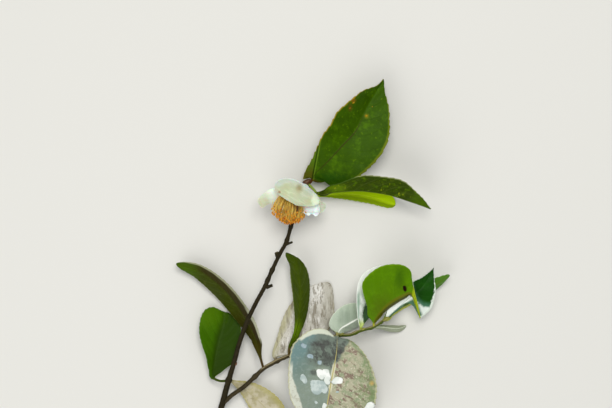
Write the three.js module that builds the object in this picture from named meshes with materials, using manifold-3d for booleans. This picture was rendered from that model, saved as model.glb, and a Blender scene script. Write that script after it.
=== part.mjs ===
// A cut sprig of a tea bush: a flowering twig and a side twig on one stem, with its old and
// young leaves and one nodding white flower, lying on its back on a level surface.
// Millimetres. +Y runs from the cut end of the stem to the top leaf, +X to the side twig's end,
// +Z up from the surface, and the origin is the middle of the sprig's plan at that surface.

import * as THREE from "three";
import { mergeVertices } from "three/addons/utils/BufferGeometryUtils.js";
import Module from "manifold-3d";

const wasm = await Module();
wasm.setup();

// The point that becomes the origin, in the plan in which the sprig is laid out below.
const MIDDLE = new THREE.Vector3(0, -2, 0);

// Clearance between a piece and what carries it.
const CLEARANCE = 0.3;

// Leaves: thickness of a blade and of the stalk it narrows to, the stalk's half width and its
// usual share of the leaf's length, the half width left at the tip, how soon behind the stalk a
// blade has opened, and how soon a lobe at its base fades.
const BLADE_THICKNESS = 0.6;
const LEAF_STALK_THICKNESS = 1.1;
const LEAF_STALK_HALF_WIDTH = 0.55;
const LEAF_STALK_SHARE = 0.04;
const TIP_HALF_WIDTH = 0.3;
const OPENING_RATE = 6;
const LOBE_FADE = 3;
const CELLS_ALONG = 12;
const CELLS_PER_HALF = 2;

// Twigs: radii from base to tip, the swelling at a node as a share of the radius, its length to
// each side, and how much of its radius a stub keeps at its tip.
const TWIG_SIDES = 8;
const TWIG_STEP = 3.2;
const STEM_RADII = [1.5, 1.35, 1.05, 0.95, 0.9, 0.85, 0.7];
const SIDE_TWIG_RADII = [1.0, 0.95, 0.9, 0.85, 0.75, 0.6];
const FLOWER_STALK_RADII = [0.7, 0.65, 0.8];
const FLOWER_STALK_STEP = 1.6;
const NODE_SWELLING = 0.22;
const NODE_LENGTH = 1.6;
const STUB_TAPER = 0.8;

// Flower: the end of its stalk, the way it faces, and its sizes.
const FLOWER_BASE = new THREE.Vector3(-9, 30.2, 16.6);
const FLOWER_AXIS = new THREE.Vector3(-2.9, -15.3, -0.6).normalize();
const CALYX_RADIUS = 2.7;
const CALYX_LENGTH = 2.6;
const CALYX_RINGS = 5;
const CALYX_SIDES = 12;
const PETAL_THICKNESS = 0.4;
const PETAL_CLAW_HALF_WIDTH = 1.1;
const STAMEN_LENGTH = 14;
const STAMEN_SPREAD = 7.6;
const STAMEN_NECK = 1.5;
const STAMEN_FLUTES = 14;
const FLUTE_DEPTH = 0.07;

// The brush of stamens from its neck to its end: share of the length, share of the spread.
const STAMEN_BELL = [
  [0.02, 0.0],
  [0.3, 0.42],
  [0.62, 0.8],
  [0.86, 1.0],
  [0.97, 0.86],
  [1.0, 0.45],
];

// Points nearer than this are one point.
const SAME_POINT = 1e-4;

const ROUGHNESS = { bark: 0.8, leaf: 0.5, flower: 0.6, stamens: 0.7 };

const UP = new THREE.Vector3(0, 0, 1);

const COLOURS = {
  bark: 0x4a3a2c,
  greenTwig: 0x5d6b34,
  darkGreen: 0x2f4f12,
  olive: 0x4a5420,
  brightGreen: 0x6fae1c,
  lime: 0x9cc41e,
  glossyGreen: 0x2f6b3a,
  paleGreen: 0x9db39a,
  weathered: 0xb4b5a6,
  oldYellow: 0xa89f6e,
  petal: 0xf3f4e4,
  stamen: 0xe29a2e,
};

function vectors(points) {
  return points.map(([x, y, z]) => new THREE.Vector3(x, y, z));
}

function blend(values, at) {
  const place = at * (values.length - 1);
  const below = Math.min(Math.floor(place), values.length - 2);
  return THREE.MathUtils.lerp(values[below], values[below + 1], place - below);
}

function geometryFrom(positions, triangles) {
  const geometry = new THREE.BufferGeometry();
  geometry.setAttribute("position", new THREE.Float32BufferAttribute(positions, 3));
  geometry.setIndex(triangles);
  return geometry;
}

function toSolid(geometry) {
  const plain = geometry.clone();
  plain.deleteAttribute("normal");
  plain.deleteAttribute("uv");
  const merged = mergeVertices(plain, SAME_POINT);
  return new wasm.Manifold(
    new wasm.Mesh({
      numProp: 3,
      vertProperties: new Float32Array(merged.attributes.position.array),
      triVerts: new Uint32Array(merged.index.array),
    }),
  );
}

function fromSolid(solid) {
  const mesh = solid.getMesh();
  return geometryFrom(Array.from(mesh.vertProperties), Array.from(mesh.triVerts));
}

function join(geometries) {
  return fromSolid(geometries.map(toSolid).reduce((whole, next) => whole.add(next)));
}

function cutBy(geometry, cutters) {
  const left = cutters.map(toSolid).reduce((rest, next) => rest.subtract(next), toSolid(geometry));
  const bodies = left.decompose();
  bodies.sort((one, other) => other.volume() - one.volume());
  return fromSolid(bodies[0]);
}

// Rings of equal length, joined into a tube and closed with a fan at each end.
function closedRings(rings) {
  const count = rings[0].length;
  const positions = rings.flat().flatMap((point) => point.toArray());
  const triangles = [];
  for (let row = 0; row + 1 < rings.length; row += 1) {
    for (let k = 0; k < count; k += 1) {
      const next = (k + 1) % count;
      const [a, b] = [row * count + k, row * count + next];
      triangles.push(a, b, b + count, a, b + count, a + count);
    }
  }
  const last = (rings.length - 1) * count;
  for (let k = 1; k + 1 < count; k += 1) {
    triangles.push(0, k + 1, k);
    triangles.push(last, last + k, last + k + 1);
  }
  return geometryFrom(positions, triangles);
}

// A tapering limb along a smooth curve, with its radii from base to tip and a swelling at each
// node, which is named by its share of the length. It can be grown by an extra all round.
function limb(points, radii, { extra = 0, nodes = [], step = TWIG_STEP } = {}) {
  const curve = new THREE.CatmullRomCurve3(vectors(points), false, "centripetal");
  const length = curve.getLength();
  const steps = Math.max(2, Math.round(length / step));
  const frames = curve.computeFrenetFrames(steps, false);
  const rings = [];
  for (let row = 0; row <= steps; row += 1) {
    const at = row / steps;
    const centre = curve.getPointAt(at);
    const outOfEnd = row === 0 ? -extra : row === steps ? extra : 0;
    centre.addScaledVector(curve.getTangentAt(at), outOfEnd);
    const swelling = nodes.reduce(
      (most, node) => Math.max(most, 1 - Math.abs(node - at) * (length / NODE_LENGTH)),
      0,
    );
    const radius = blend(radii, at) * (1 + NODE_SWELLING * swelling) + extra;
    const ring = [];
    for (let k = 0; k < TWIG_SIDES; k += 1) {
      const angle = (2 * Math.PI * k) / TWIG_SIDES;
      const point = centre.clone();
      point.addScaledVector(frames.normals[row], radius * Math.cos(angle));
      point.addScaledVector(frames.binormals[row], radius * Math.sin(angle));
      ring.push(point);
    }
    rings.push(ring);
  }
  return closedRings(rings);
}

// The stations at which a blade's half widths are given, close together near its two ends.
function stationShare(k, count) {
  return (1 - Math.cos((Math.PI * k) / count)) / 2;
}

// A half width at a place along the blade, from 0 to 1, through the given ones.
function halfWidth(widths, base, at) {
  const given = [base, ...widths, TIP_HALF_WIDTH];
  const spline = new THREE.SplineCurve(given.map((width, k) => new THREE.Vector2(k, width)));
  return Math.max(TIP_HALF_WIDTH, spline.getPoint(Math.acos(1 - 2 * at) / Math.PI).y);
}

// A thin blade round a spine. Each half has its own half widths, and rises from the spine at its
// own angle, given at the base, the middle and the tip, then bends on towards its margin. A rise
// is positive towards +Z, or towards the outer side where the blade's right hand side is given.
// A lobe is how far the base reaches back beside the leaf's stalk.
function blade({
  spine,
  leftWidths,
  rightWidths,
  leftRise = [0, 0, 0],
  rightRise = [0, 0, 0],
  bends = [0, 0],
  lobes = [0, 0],
  side = null,
  stalk = LEAF_STALK_SHARE,
  stalkHalfWidth = LEAF_STALK_HALF_WIDTH,
  stalkThickness = LEAF_STALK_THICKNESS,
  thickness = BLADE_THICKNESS,
}) {
  const curve = new THREE.CatmullRomCurve3(vectors(spine), false, "centripetal");
  const places = [0, stalk / 2];
  for (let k = 0; k <= CELLS_ALONG; k += 1) {
    places.push(stalk + (1 - stalk) * stationShare(k, CELLS_ALONG));
  }
  const rings = places.map((at) => {
    const along = curve.getTangentAt(at);
    const rightward = side ? new THREE.Vector3(...side) : along.clone().cross(UP);
    rightward.addScaledVector(along, -rightward.dot(along)).normalize();
    const outward = rightward.clone().cross(along);
    const bladeAt = THREE.MathUtils.clamp((at - stalk) / (1 - stalk), 0, 1);
    const opened = Math.min(1, bladeAt * OPENING_RATE);
    const half = THREE.MathUtils.lerp(stalkThickness, thickness, opened) / 2;
    const halves = [
      { hand: -1, widths: leftWidths, rise: leftRise, turn: bends[0], lobe: lobes[0] },
      { hand: 1, widths: rightWidths, rise: rightRise, turn: bends[1], lobe: lobes[1] },
    ].map(({ hand, widths, rise, turn, lobe }) => ({
      hand,
      back: lobe * opened * (1 - bladeAt) ** LOBE_FADE,
      reach: halfWidth(widths, stalkHalfWidth, bladeAt),
      first: THREE.MathUtils.degToRad(blend(rise, bladeAt)) * opened,
      turn: THREE.MathUtils.degToRad(turn) * opened,
    }));
    const ridgeLean = (halves[0].first - halves[1].first) / 2;
    const upper = [];
    const lower = [];
    for (let k = -CELLS_PER_HALF; k <= CELLS_PER_HALF; k += 1) {
      const share = Math.abs(k) / CELLS_PER_HALF;
      const { hand, reach, first, turn, back } = halves[k < 0 ? 0 : 1];
      const angle = first + (turn * share) / 2;
      const point = curve.getPointAt(at);
      point.addScaledVector(rightward, hand * reach * share * Math.cos(angle));
      point.addScaledVector(outward, reach * share * Math.sin(angle));
      point.addScaledVector(along, -back * share);
      const lean = k === 0 ? ridgeLean : -hand * (first + turn * share);
      const normal = outward.clone().multiplyScalar(Math.cos(lean));
      normal.addScaledVector(rightward, Math.sin(lean));
      upper.push(point.clone().addScaledVector(normal, half));
      lower.push(point.clone().addScaledVector(normal, -half));
    }
    return [...lower, ...upper.reverse()].map(lieOnSurface);
  });
  return closedBlade(rings);
}

// The rings of a blade are long and flat, so their ends are closed by strips, not by a fan.
function closedBlade(rings) {
  const count = rings[0].length;
  const tube = closedRings(rings);
  const bothFans = 2 * 3 * (count - 2);
  const triangles = Array.from(tube.index.array).slice(0, -bothFans);
  const last = (rings.length - 1) * count;
  for (let k = 0; k + 1 < count / 2; k += 1) {
    const [a, b, c, d] = [k, k + 1, count - 2 - k, count - 1 - k];
    triangles.push(a, c, b, a, d, c);
    triangles.push(last + a, last + b, last + c, last + a, last + c, last + d);
  }
  return geometryFrom(Array.from(tube.attributes.position.array), triangles);
}

// What would reach below the surface rests on it: the lower face at 0, the upper one above.
function lieOnSurface(point, index, ring) {
  const isUpper = index >= ring.length / 2;
  point.z = Math.max(point.z, isUpper ? BLADE_THICKNESS : 0);
  return point;
}

const STEM_POINTS = [
  [-46.2, -83.5, 1.48],
  [-43.9, -77.0, 2.8],
  [-41.0, -66.6, 5.2],
  [-38.2, -56.2, 7.5],
  [-35.4, -47.7, 9.0],
  [-33.1, -39.6, 10.3],
  [-29.7, -29.2, 11.4],
  [-25.7, -20.7, 11.5],
  [-21.6, -13.1, 11.0],
  [-18.4, -5.9, 10.6],
  [-15.1, 1.0, 10.0],
  [-11.9, 7.0, 8.3],
  [-9.6, 14.8, 7.1],
  [-5.9, 23.9, 6.2],
  [-1.6, 33.3, 6.0],
];

const SIDE_TWIG_POINTS = [
  [-41.0, -66.6, 5.2],
  [-36.1, -62.1, 6.3],
  [-31.2, -58.7, 7.0],
  [-26.1, -53.9, 7.6],
  [-22.3, -50.4, 8.0],
  [-15.8, -46.7, 8.6],
  [-10.9, -44.6, 9.0],
  [-0.5, -40.5, 9.5],
  [10.8, -35.6, 10.0],
  [16.7, -34.2, 10.5],
  [21.6, -32.2, 11.0],
  [26.6, -30.8, 11.5],
  [31.9, -27.7, 12.0],
];

// The stubs of fallen leaves and flowers on the flowering twig: foot, tip and radius.
const STUBS = [
  { foot: [-12.4, 5.6, 8.8], tip: [-9.0, 6.8, 9.4], radius: 0.45 },
  { foot: [-15.2, 1.4, 9.9], tip: [-17.1, 3.2, 10.6], radius: 0.6 },
  { foot: [-21.4, -13.2, 11.0], tip: [-18.3, -12.3, 11.3], radius: 0.5 },
];

const STEM_NODES = [0.235, 0.62, 0.66, 0.78, 0.83, 0.985];
const SIDE_TWIG_NODES = [0.235, 0.38, 0.68, 0.83, 0.92, 0.985];

function stemGeometry() {
  const stubs = STUBS.map(({ foot, tip, radius }) => {
    return limb([foot, tip], [radius, radius * STUB_TAPER]);
  });
  return join([limb(STEM_POINTS, STEM_RADII, { nodes: STEM_NODES }), ...stubs]);
}

function twigRoom(points, radii, nodes) {
  return limb(points, radii, { extra: CLEARANCE, nodes });
}

const STEM_ROOM = twigRoom(STEM_POINTS, STEM_RADII, STEM_NODES);
const SIDE_TWIG_ROOM = twigRoom(SIDE_TWIG_POINTS, SIDE_TWIG_RADII, SIDE_TWIG_NODES);

// Every leaf starts on the middle line of the twig that carries it, and is cut clear of it.
const LEAVES = {
  leaf_top_broad: {
    colour: COLOURS.darkGreen,
    spine: [
      [-1.8, 32.9, 6.0],
      [-0.2, 34.9, 7.2],
      [0.9, 37.4, 8.4],
      [6.8, 43.2, 11.0],
      [13.5, 50.4, 13.0],
      [18.9, 56.3, 13.0],
      [23.9, 66.2, 11.5],
      [31.5, 79.9, 9.0],
    ],
    leftWidths: [4.6, 10.8, 15.0, 9.8, 2.4],
    rightWidths: [8.9, 13.8, 15.5, 11.4, 3.2],
    leftRise: [38, 40, 30],
    rightRise: [5, 5, 10],
  },
  leaf_top_arching: {
    colour: COLOURS.olive,
    spine: [
      [-2.8, 30.6, 6.1],
      [0.2, 29.9, 8.6],
      [3.2, 27.7, 11.5],
      [9.9, 29.0, 14.0],
      [21.2, 29.5, 16.0],
      [34.2, 27.7, 15.5],
      [43.4, 25.4, 13.0],
      [52.7, 21.6, 10.5],
    ],
    leftWidths: [3.2, 8.5, 10.3, 9.3, 2.1],
    rightWidths: [3.0, 8.0, 9.5, 8.0, 2.0],
    leftRise: [45, 45, 45],
    rightRise: [-115, -115, -100],
    stalk: 0.12,
  },
  leaf_top_lime: {
    colour: COLOURS.lime,
    spine: [
      [-4.6, 26.9, 6.1],
      [-0.5, 26.8, 5.0],
      [2.7, 27.5, 4.2],
      [14.4, 28.4, 2.6],
      [25.7, 27.0, 1.2],
      [37.4, 23.4, 0.2],
    ],
    leftWidths: [2.0, 5.0, 6.0, 5.5, 3.5],
    rightWidths: [0.8, 2.2, 3.1, 3.0, 2.4],
    stalk: 0.17,
  },
  leaf_left_folded: {
    colour: COLOURS.olive,
    spine: [
      [-22.3, -50.4, 8.0],
      [-23.4, -44.6, 9.0],
      [-25.2, -36.5, 9.0],
      [-31.5, -26.1, 9.0],
      [-39.6, -15.8, 8.8],
      [-50.9, -6.8, 8.2],
      [-61.7, -3.2, 6.5],
    ],
    leftWidths: [3.8, 5.8, 7.5, 6.0, 2.4],
    rightWidths: [2.0, 4.8, 6.4, 5.6, 3.4],
    leftRise: [-50, -50, -45],
    rightRise: [-62, -62, -50],
    stalk: 0.09,
  },
  leaf_middle_upright: {
    colour: COLOURS.olive,
    spine: [
      [-10.8, -44.6, 9.0],
      [-10.6, -40.5, 11.0],
      [-8.1, -35.1, 12.0],
      [-5.9, -25.2, 13.0],
      [-5.6, -14.0, 13.0],
      [-7.7, -3.6, 12.0],
      [-12.2, 1.8, 10.5],
    ],
    leftWidths: [2.3, 4.0, 7.0, 6.8, 3.2],
    rightWidths: [2.3, 5.4, 6.8, 6.8, 2.8],
    leftRise: [-64, -64, -55],
    rightRise: [-55, -55, -45],
    stalk: 0.08,
  },
  leaf_round_old: {
    colour: COLOURS.weathered,
    spine: [
      [10.8, -34.4, 10.0],
      [10.8, -35.2, 12.8],
      [10.7, -41.0, 14.3],
      [9.8, -47.3, 14.7],
      [8.6, -53.6, 14.6],
      [6.9, -63.0, 13.0],
      [5.4, -71.1, 10.6],
      [3.2, -83.3, 6.0],
    ],
    leftWidths: [6.5, 17.8, 21.9, 18.5, 7.5],
    rightWidths: [15.0, 19.4, 18.9, 14.5, 7.5],
    leftRise: [8, 8, 8],
    rightRise: [10, 10, 10],
    lobes: [0, 7],
    stalk: 0.05,
  },
  leaf_right_cupped: {
    colour: COLOURS.brightGreen,
    spine: [
      [26.6, -30.8, 11.5],
      [28.4, -27.0, 13.4],
      [31.4, -23.0, 15.0],
      [35.6, -19.6, 16.2],
      [39.6, -17.0, 16.6],
      [42.8, -15.4, 16.2],
      [45.0, -15.2, 15.2],
      [46.0, -18.6, 13.8],
      [47.9, -27.2, 10.5],
    ],
    leftWidths: [3.0, 10.4, 17.2, 15.8, 3.0, 0.7, 0.6],
    rightWidths: [1.5, 3.5, 4.0, 3.0, 1.0],
    leftRise: [25, 25, 25],
    rightRise: [-80, -80, -80],
  },
  leaf_right_glossy: {
    colour: COLOURS.glossyGreen,
    spine: [
      [31.9, -27.7, 12.0],
      [34.4, -25.6, 11.0],
      [37.8, -23.0, 10.6],
      [43.2, -18.5, 10.4],
      [49.1, -13.5, 10.6],
      [54.2, -5.0, 10.8],
    ],
    leftWidths: [1.5, 3.5, 4.5, 4.5, 1.4],
    rightWidths: [1.0, 2.8, 10.6, 7.0, 3.0],
    leftRise: [10, 10, 10],
    rightRise: [-20, -20, -20],
  },
  leaf_right_pale: {
    colour: COLOURS.paleGreen,
    spine: [
      [21.6, -32.2, 11.0],
      [22.3, -27.5, 9.4],
      [23.9, -20.7, 8.6],
      [25.2, -13.5, 8.0],
      [27.5, -5.9, 7.0],
    ],
    leftWidths: [1.6, 4.0, 7.0, 6.7, 2.8],
    rightWidths: [1.5, 4.0, 6.0, 5.0, 2.0],
    leftRise: [48, 48, 40],
    rightRise: [10, 10, 10],
  },
  leaf_right_grey: {
    colour: COLOURS.paleGreen,
    spine: [
      [12.6, -35.1, 10.1],
      [15.6, -31.1, 7.6],
      [19.4, -28.4, 6.6],
      [24.8, -24.3, 5.0],
      [29.3, -19.4, 4.0],
    ],
    leftWidths: [4.2, 7.0, 8.6, 6.5, 3.2],
    rightWidths: [1.5, 3.6, 4.6, 4.0, 2.0],
    leftRise: [8, 8, 8],
    rightRise: [-50, -50, -50],
  },
  leaf_right_edge_on: {
    colour: COLOURS.paleGreen,
    spine: [
      [27.0, -30.6, 11.4],
      [31.9, -31.3, 8.5],
      [36.0, -31.9, 5.5],
      [39.6, -32.0, 2.8],
      [42.3, -31.3, 0.2],
    ],
    leftWidths: [1.6, 3.0, 4.0, 3.2, 1.4],
    rightWidths: [1.6, 3.0, 4.0, 3.2, 1.4],
    leftRise: [-70, -70, -50],
    rightRise: [-60, -60, -40],
  },
  leaf_right_tip: {
    colour: COLOURS.brightGreen,
    spine: [
      [30.8, -28.3, 11.8],
      [33.6, -27.0, 8.2],
      [38.2, -23.4, 6.2],
      [45.5, -18.9, 5.8],
      [54.5, -13.1, 6.0],
      [61.6, -8.1, 6.5],
    ],
    leftWidths: [1.5, 4.4, 5.0, 4.4, 2.0],
    rightWidths: [1.5, 4.0, 5.0, 4.4, 2.0],
    leftRise: [35, 35, 35],
    rightRise: [-65, -65, -50],
  },
  leaf_left_broad: {
    colour: COLOURS.darkGreen,
    spine: [
      [-38.3, -55.8, 7.5],
      [-42.3, -56.0, 5.6],
      [-45.3, -54.3, 4.4],
      [-44.6, -49.1, 3.8],
      [-42.8, -40.1, 2.8],
      [-40.2, -27.0, 1.0],
      [-40.5, -22.1, 0.2],
    ],
    leftWidths: [1.8, 4.7, 9.5, 10.6, 7.6],
    rightWidths: [2.1, 5.4, 9.0, 9.3, 4.4],
    leftRise: [25, 25, 25],
    rightRise: [5, 0, 0],
    stalk: 0.18,
  },
  leaf_middle_weathered: {
    colour: COLOURS.weathered,
    spine: [
      [-16.2, -47.0, 8.5],
      [-17.4, -44.6, 6.4],
      [-13.5, -36.0, 4.0],
      [-7.2, -27.5, 2.8],
      [-0.9, -20.7, 2.0],
      [7.7, -12.2, 0.8],
    ],
    leftWidths: [1.2, 2.6, 6.0, 6.4, 3.4],
    rightWidths: [4.0, 11.5, 15.0, 13.0, 5.4],
    leftRise: [-10, -10, -10],
  },
  leaf_base_weathered: {
    colour: COLOURS.oldYellow,
    spine: [
      [-37.8, -54.9, 7.6],
      [-36.0, -56.6, 5.2],
      [-31.5, -59.4, 3.4],
      [-25.2, -64.8, 2.4],
      [-18.5, -72.0, 1.2],
      [-10.4, -82.4, 0.2],
    ],
    leftWidths: [1.3, 5.2, 7.8, 6.4, 2.4],
    rightWidths: [1.0, 3.4, 6.2, 6.0, 2.2],
    leftRise: [15, 15, 10],
    rightRise: [5, 5, 0],
  },
};

// A place in the flower: how far along its axis, how far out, and round from +Z towards +X.
const FLOWER_SIDE = FLOWER_AXIS.clone().cross(UP).normalize().negate();
const FLOWER_TOP = FLOWER_AXIS.clone().cross(FLOWER_SIDE).normalize();

function inFlower(alongAxis, outFromAxis, roundDegrees) {
  const angle = THREE.MathUtils.degToRad(roundDegrees);
  const point = FLOWER_BASE.clone();
  point.addScaledVector(FLOWER_AXIS, alongAxis);
  point.addScaledVector(FLOWER_TOP, outFromAxis * Math.cos(angle));
  point.addScaledVector(FLOWER_SIDE, outFromAxis * Math.sin(angle));
  return point.toArray();
}

function acrossFlower(roundDegrees) {
  const angle = THREE.MathUtils.degToRad(roundDegrees);
  const direction = FLOWER_SIDE.clone().multiplyScalar(Math.cos(angle));
  direction.addScaledVector(FLOWER_TOP, -Math.sin(angle));
  return direction.toArray();
}

// Petals that open evenly round the axis: where each stands, and its spine as distances along
// the axis and out from it.
const EVEN_PETALS = {
  petal_left: {
    round: 280,
    spine: [[0.5, 2.6], [0.6, 7.0], [2.6, 11.0], [7.6, 15.4]],
    widths: [1.8, 4.0, 5.6, 5.4, 3.4],
    bend: 20,
  },
  petal_back: {
    round: 226,
    spine: [[0.5, 2.6], [1.6, 7.0], [4.6, 11.6], [9.0, 15.4]],
    widths: [1.8, 4.0, 5.8, 5.8, 3.8],
    bend: 20,
  },
};

// Petals that stand askew: the spine in the sprig's own plan, and the way their breadth lies.
const ASKEW_PETALS = {
  petal_front: {
    spine: [
      [-9.2, 29.4, 19.5],
      [-7.8, 32.6, 21.2],
      [-6.4, 34.2, 24.0],
      [-6.0, 32.0, 26.8],
      [-6.6, 27.8, 28.0],
      [-7.6, 23.6, 27.2],
    ],
    side: [0.93, -0.37, 0],
    widths: [4.2, 8.6, 10.6, 10.2, 6.4],
    bend: 45,
  },
  petal_right: {
    spine: [
      [-6.4, 29.2, 15.3],
      [-4.0, 25.6, 13.8],
      [-0.8, 21.8, 13.2],
      [1.4, 18.8, 13.8],
    ],
    side: [0.6, 0.5, 0.62],
    widths: [1.6, 3.4, 4.6, 4.8, 3.2],
    bend: 15,
  },
  petal_side: {
    spine: [
      [-7.2, 28.8, 13.9],
      [-3.6, 26.6, 12.0],
      [1.0, 24.2, 10.6],
      [5.2, 22.4, 10.0],
    ],
    side: [0.3, 0.65, 0.7],
    widths: [1.5, 2.6, 3.4, 3.8, 2.6],
    bend: 15,
  },
};

function petalGeometry(spine, side, widths, turn) {
  return blade({
    spine,
    side,
    leftWidths: widths,
    rightWidths: widths,
    bends: [turn, turn],
    stalkHalfWidth: PETAL_CLAW_HALF_WIDTH,
    stalkThickness: PETAL_THICKNESS,
    thickness: PETAL_THICKNESS,
  });
}

const FLOWER_STALK_POINTS = [
  [-3.4, 29.2, 6.1],
  [-5.0, 32.2, 9.0],
  [-6.8, 34.4, 13.4],
  inFlower(-2.2, 0, 0),
];

// The flower's stalk with its calyx, a shallow cup under the petals.
function calyxGeometry() {
  const stalk = limb(FLOWER_STALK_POINTS, FLOWER_STALK_RADII, { step: FLOWER_STALK_STEP });
  const profile = [];
  for (let k = 0; k <= CALYX_RINGS; k += 1) {
    const angle = (Math.PI / 2) * (k / CALYX_RINGS);
    const out = k === 0 ? 0 : CALYX_RADIUS * Math.sin(angle);
    profile.push(new THREE.Vector2(out, -CALYX_LENGTH * Math.cos(angle)));
  }
  profile.push(new THREE.Vector2(0, 0));
  return join([alongFlower(new THREE.LatheGeometry(profile, CALYX_SIDES)), stalk]);
}

// Turns a shape made round +Y so that it stands round the flower's axis.
function alongFlower(geometry) {
  const turn = new THREE.Quaternion();
  turn.setFromUnitVectors(new THREE.Vector3(0, 1, 0), FLOWER_AXIS);
  const place = new THREE.Matrix4().compose(FLOWER_BASE, turn, new THREE.Vector3(1, 1, 1));
  geometry.applyMatrix4(place);
  return geometry;
}

// The brush of stamens: a bell that opens from a narrow neck, fluted, with a domed end.
function stamenGeometry() {
  const sides = 2 * STAMEN_FLUTES;
  const rings = STAMEN_BELL.map(([along, out]) => {
    const ring = [];
    for (let k = 0; k < sides; k += 1) {
      const round = (360 * k) / sides;
      const flute = 1 + (k % 2 ? -1 : 1) * FLUTE_DEPTH * out;
      const reach = (STAMEN_NECK + (STAMEN_SPREAD - STAMEN_NECK) * out) * flute;
      ring.push(new THREE.Vector3(...inFlower(along * STAMEN_LENGTH, reach, round)));
    }
    return ring;
  });
  return outwardFacing(closedRings(rings));
}

function outwardFacing(geometry) {
  if (toSolid(geometry).volume() > 0) {
    return geometry;
  }
  const turned = Array.from(geometry.index.array);
  for (let k = 0; k < turned.length; k += 3) {
    [turned[k + 1], turned[k + 2]] = [turned[k + 2], turned[k + 1]];
  }
  return geometryFrom(Array.from(geometry.attributes.position.array), turned);
}

const sprig = new THREE.Group();
sprig.position.copy(MIDDLE).negate();

function addPiece(name, geometry, colour, roughness) {
  const material = new THREE.MeshStandardMaterial({ color: colour, roughness, metalness: 0 });
  const mesh = new THREE.Mesh(outwardFacing(geometry), material);
  mesh.name = name;
  sprig.add(mesh);
}

addPiece("stem_and_flowering_twig", stemGeometry(), COLOURS.bark, ROUGHNESS.bark);

const sideTwig = limb(SIDE_TWIG_POINTS, SIDE_TWIG_RADII, { nodes: SIDE_TWIG_NODES });
addPiece("side_twig", cutBy(sideTwig, [STEM_ROOM]), COLOURS.bark, ROUGHNESS.bark);

for (const [name, { colour, ...sizes }] of Object.entries(LEAVES)) {
  const leaf = cutBy(outwardFacing(blade(sizes)), [STEM_ROOM, SIDE_TWIG_ROOM]);
  addPiece(name, leaf, colour, ROUGHNESS.leaf);
}

const calyx = cutBy(calyxGeometry(), [STEM_ROOM]);
addPiece("flower_stalk_and_calyx", calyx, COLOURS.greenTwig, ROUGHNESS.flower);

for (const [name, { round, spine, widths, bend }] of Object.entries(EVEN_PETALS)) {
  const placed = spine.map(([alongAxis, out]) => inFlower(alongAxis, out, round));
  const petal = petalGeometry(placed, acrossFlower(round), widths, bend);
  addPiece(name, petal, COLOURS.petal, ROUGHNESS.flower);
}

for (const [name, { spine, side, widths, bend }] of Object.entries(ASKEW_PETALS)) {
  const petal = petalGeometry(spine, side, widths, bend);
  addPiece(name, petal, COLOURS.petal, ROUGHNESS.flower);
}

addPiece("stamens", stamenGeometry(), COLOURS.stamen, ROUGHNESS.stamens);

export default sprig;
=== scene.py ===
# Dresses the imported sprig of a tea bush. Fine leaves, bark, petals and stamens grow along nearly
# the same lines as the plain solids, at most a few mm off, and stand in for them, on a pale floor
# under soft light, with the camera straight above. Shapes are worked out in mm in the sprig's own
# plan and turned into metres in the row's frame when a mesh is made.

import math
import random
from dataclasses import dataclass

import bmesh
import bpy
import numpy as np
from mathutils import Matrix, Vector, noise


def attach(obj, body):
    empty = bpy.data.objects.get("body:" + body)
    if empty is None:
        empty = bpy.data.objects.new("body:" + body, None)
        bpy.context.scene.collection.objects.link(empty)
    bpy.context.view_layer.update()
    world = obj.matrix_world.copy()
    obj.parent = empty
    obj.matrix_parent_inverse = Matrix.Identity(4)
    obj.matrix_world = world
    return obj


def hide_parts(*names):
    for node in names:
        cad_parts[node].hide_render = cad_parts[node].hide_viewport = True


SEED = 11

MM = 0.001

# The place in the plan that becomes the origin of the frame.
MIDDLE = np.array([0.0, -2.0, 0.0])
UP = np.array([0.0, 0.0, 1.0])

# Camera: it looks straight down from CAMERA_HEIGHT on the point that the picture's middle shows,
# and the picture is PICTURE_WIDTH wide in the plane that is FOCUS_HEIGHT above the surface.
CAMERA_HEIGHT = 1200.0
FOCUS_HEIGHT = 10.0
PICTURE_MIDDLE = (-3.15, 25.85)
PICTURE_WIDTH = 275.4
SENSOR = 36.0

# Leaves, as in the part's source.
LEAF_STALK_HALF_WIDTH = 0.55
LEAF_STALK_SHARE = 0.04
TIP_HALF_WIDTH = 0.3
OPENING_RATE = 6

# What the fine leaves have besides.
LEAF_THICKNESS = 0.34
STALK_THICKNESS = 1.0
EDGE_START = 0.06
RIDGE_SOFTNESS = 0.07
ROWS_PER_TOOTH = 6
LEAST_ROWS = 40
TOOTH_SHARPNESS = 10
HALF_COLUMNS = (0, 0.02, 0.05, 0.1, 0.18, 0.28, 0.4, 0.52, 0.64, 0.75, 0.84, 0.91, 0.96, 0.99, 1)
VEIN_SLANT = 0.2
VEIN_CURVE = 1.3
VEIN_WIDTH = 0.1
VEIN_DEPTH = 0.5
RIB_WIDTH = 0.035
RIB_DEPTH = 1.6
RIB_TAPER = 0.7
RIDGE_TO_GROOVE = 1.3
SWELL = 0.18
WAVE_SHIFT = 0.31
CRUMPLE_AT_RIDGE = 0.35
LOWEST = 0.25

# Shares of the blade where teeth and side veins start, are full and fade, and shares of the
# way to the margin between which a side vein fades.
TEETH_START, TEETH_FULL, TEETH_FADE = 0.06, 0.16, 0.94
VEINS_START, VEINS_FULL = 0.02, 0.12
VEIN_FADE, VEIN_END = 0.7, 0.97

# Exponents of a section: round for the stalk, flat with a rounded edge for the blade.
ROUND_SECTION, FLAT_SECTION = 2, 12

# A crust is a dome whose edge lies below the surface of the leaf.
DOME_HEIGHT, DOME_ROUNDING, DOME_SINK = 1.3, 1.02, 0.4

# Shares between the places that a direction is measured over.
NUDGE_ALONG = 0.004
NUDGE_ACROSS = 0.01

# The grid in which a nearest place is looked for. Of places as near, the highest one counts.
SEARCH_ROWS, SEARCH_COLUMNS = 160, 61
SEARCH_REACH = 0.99
HEIGHT_PREFERENCE = 0.02

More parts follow.
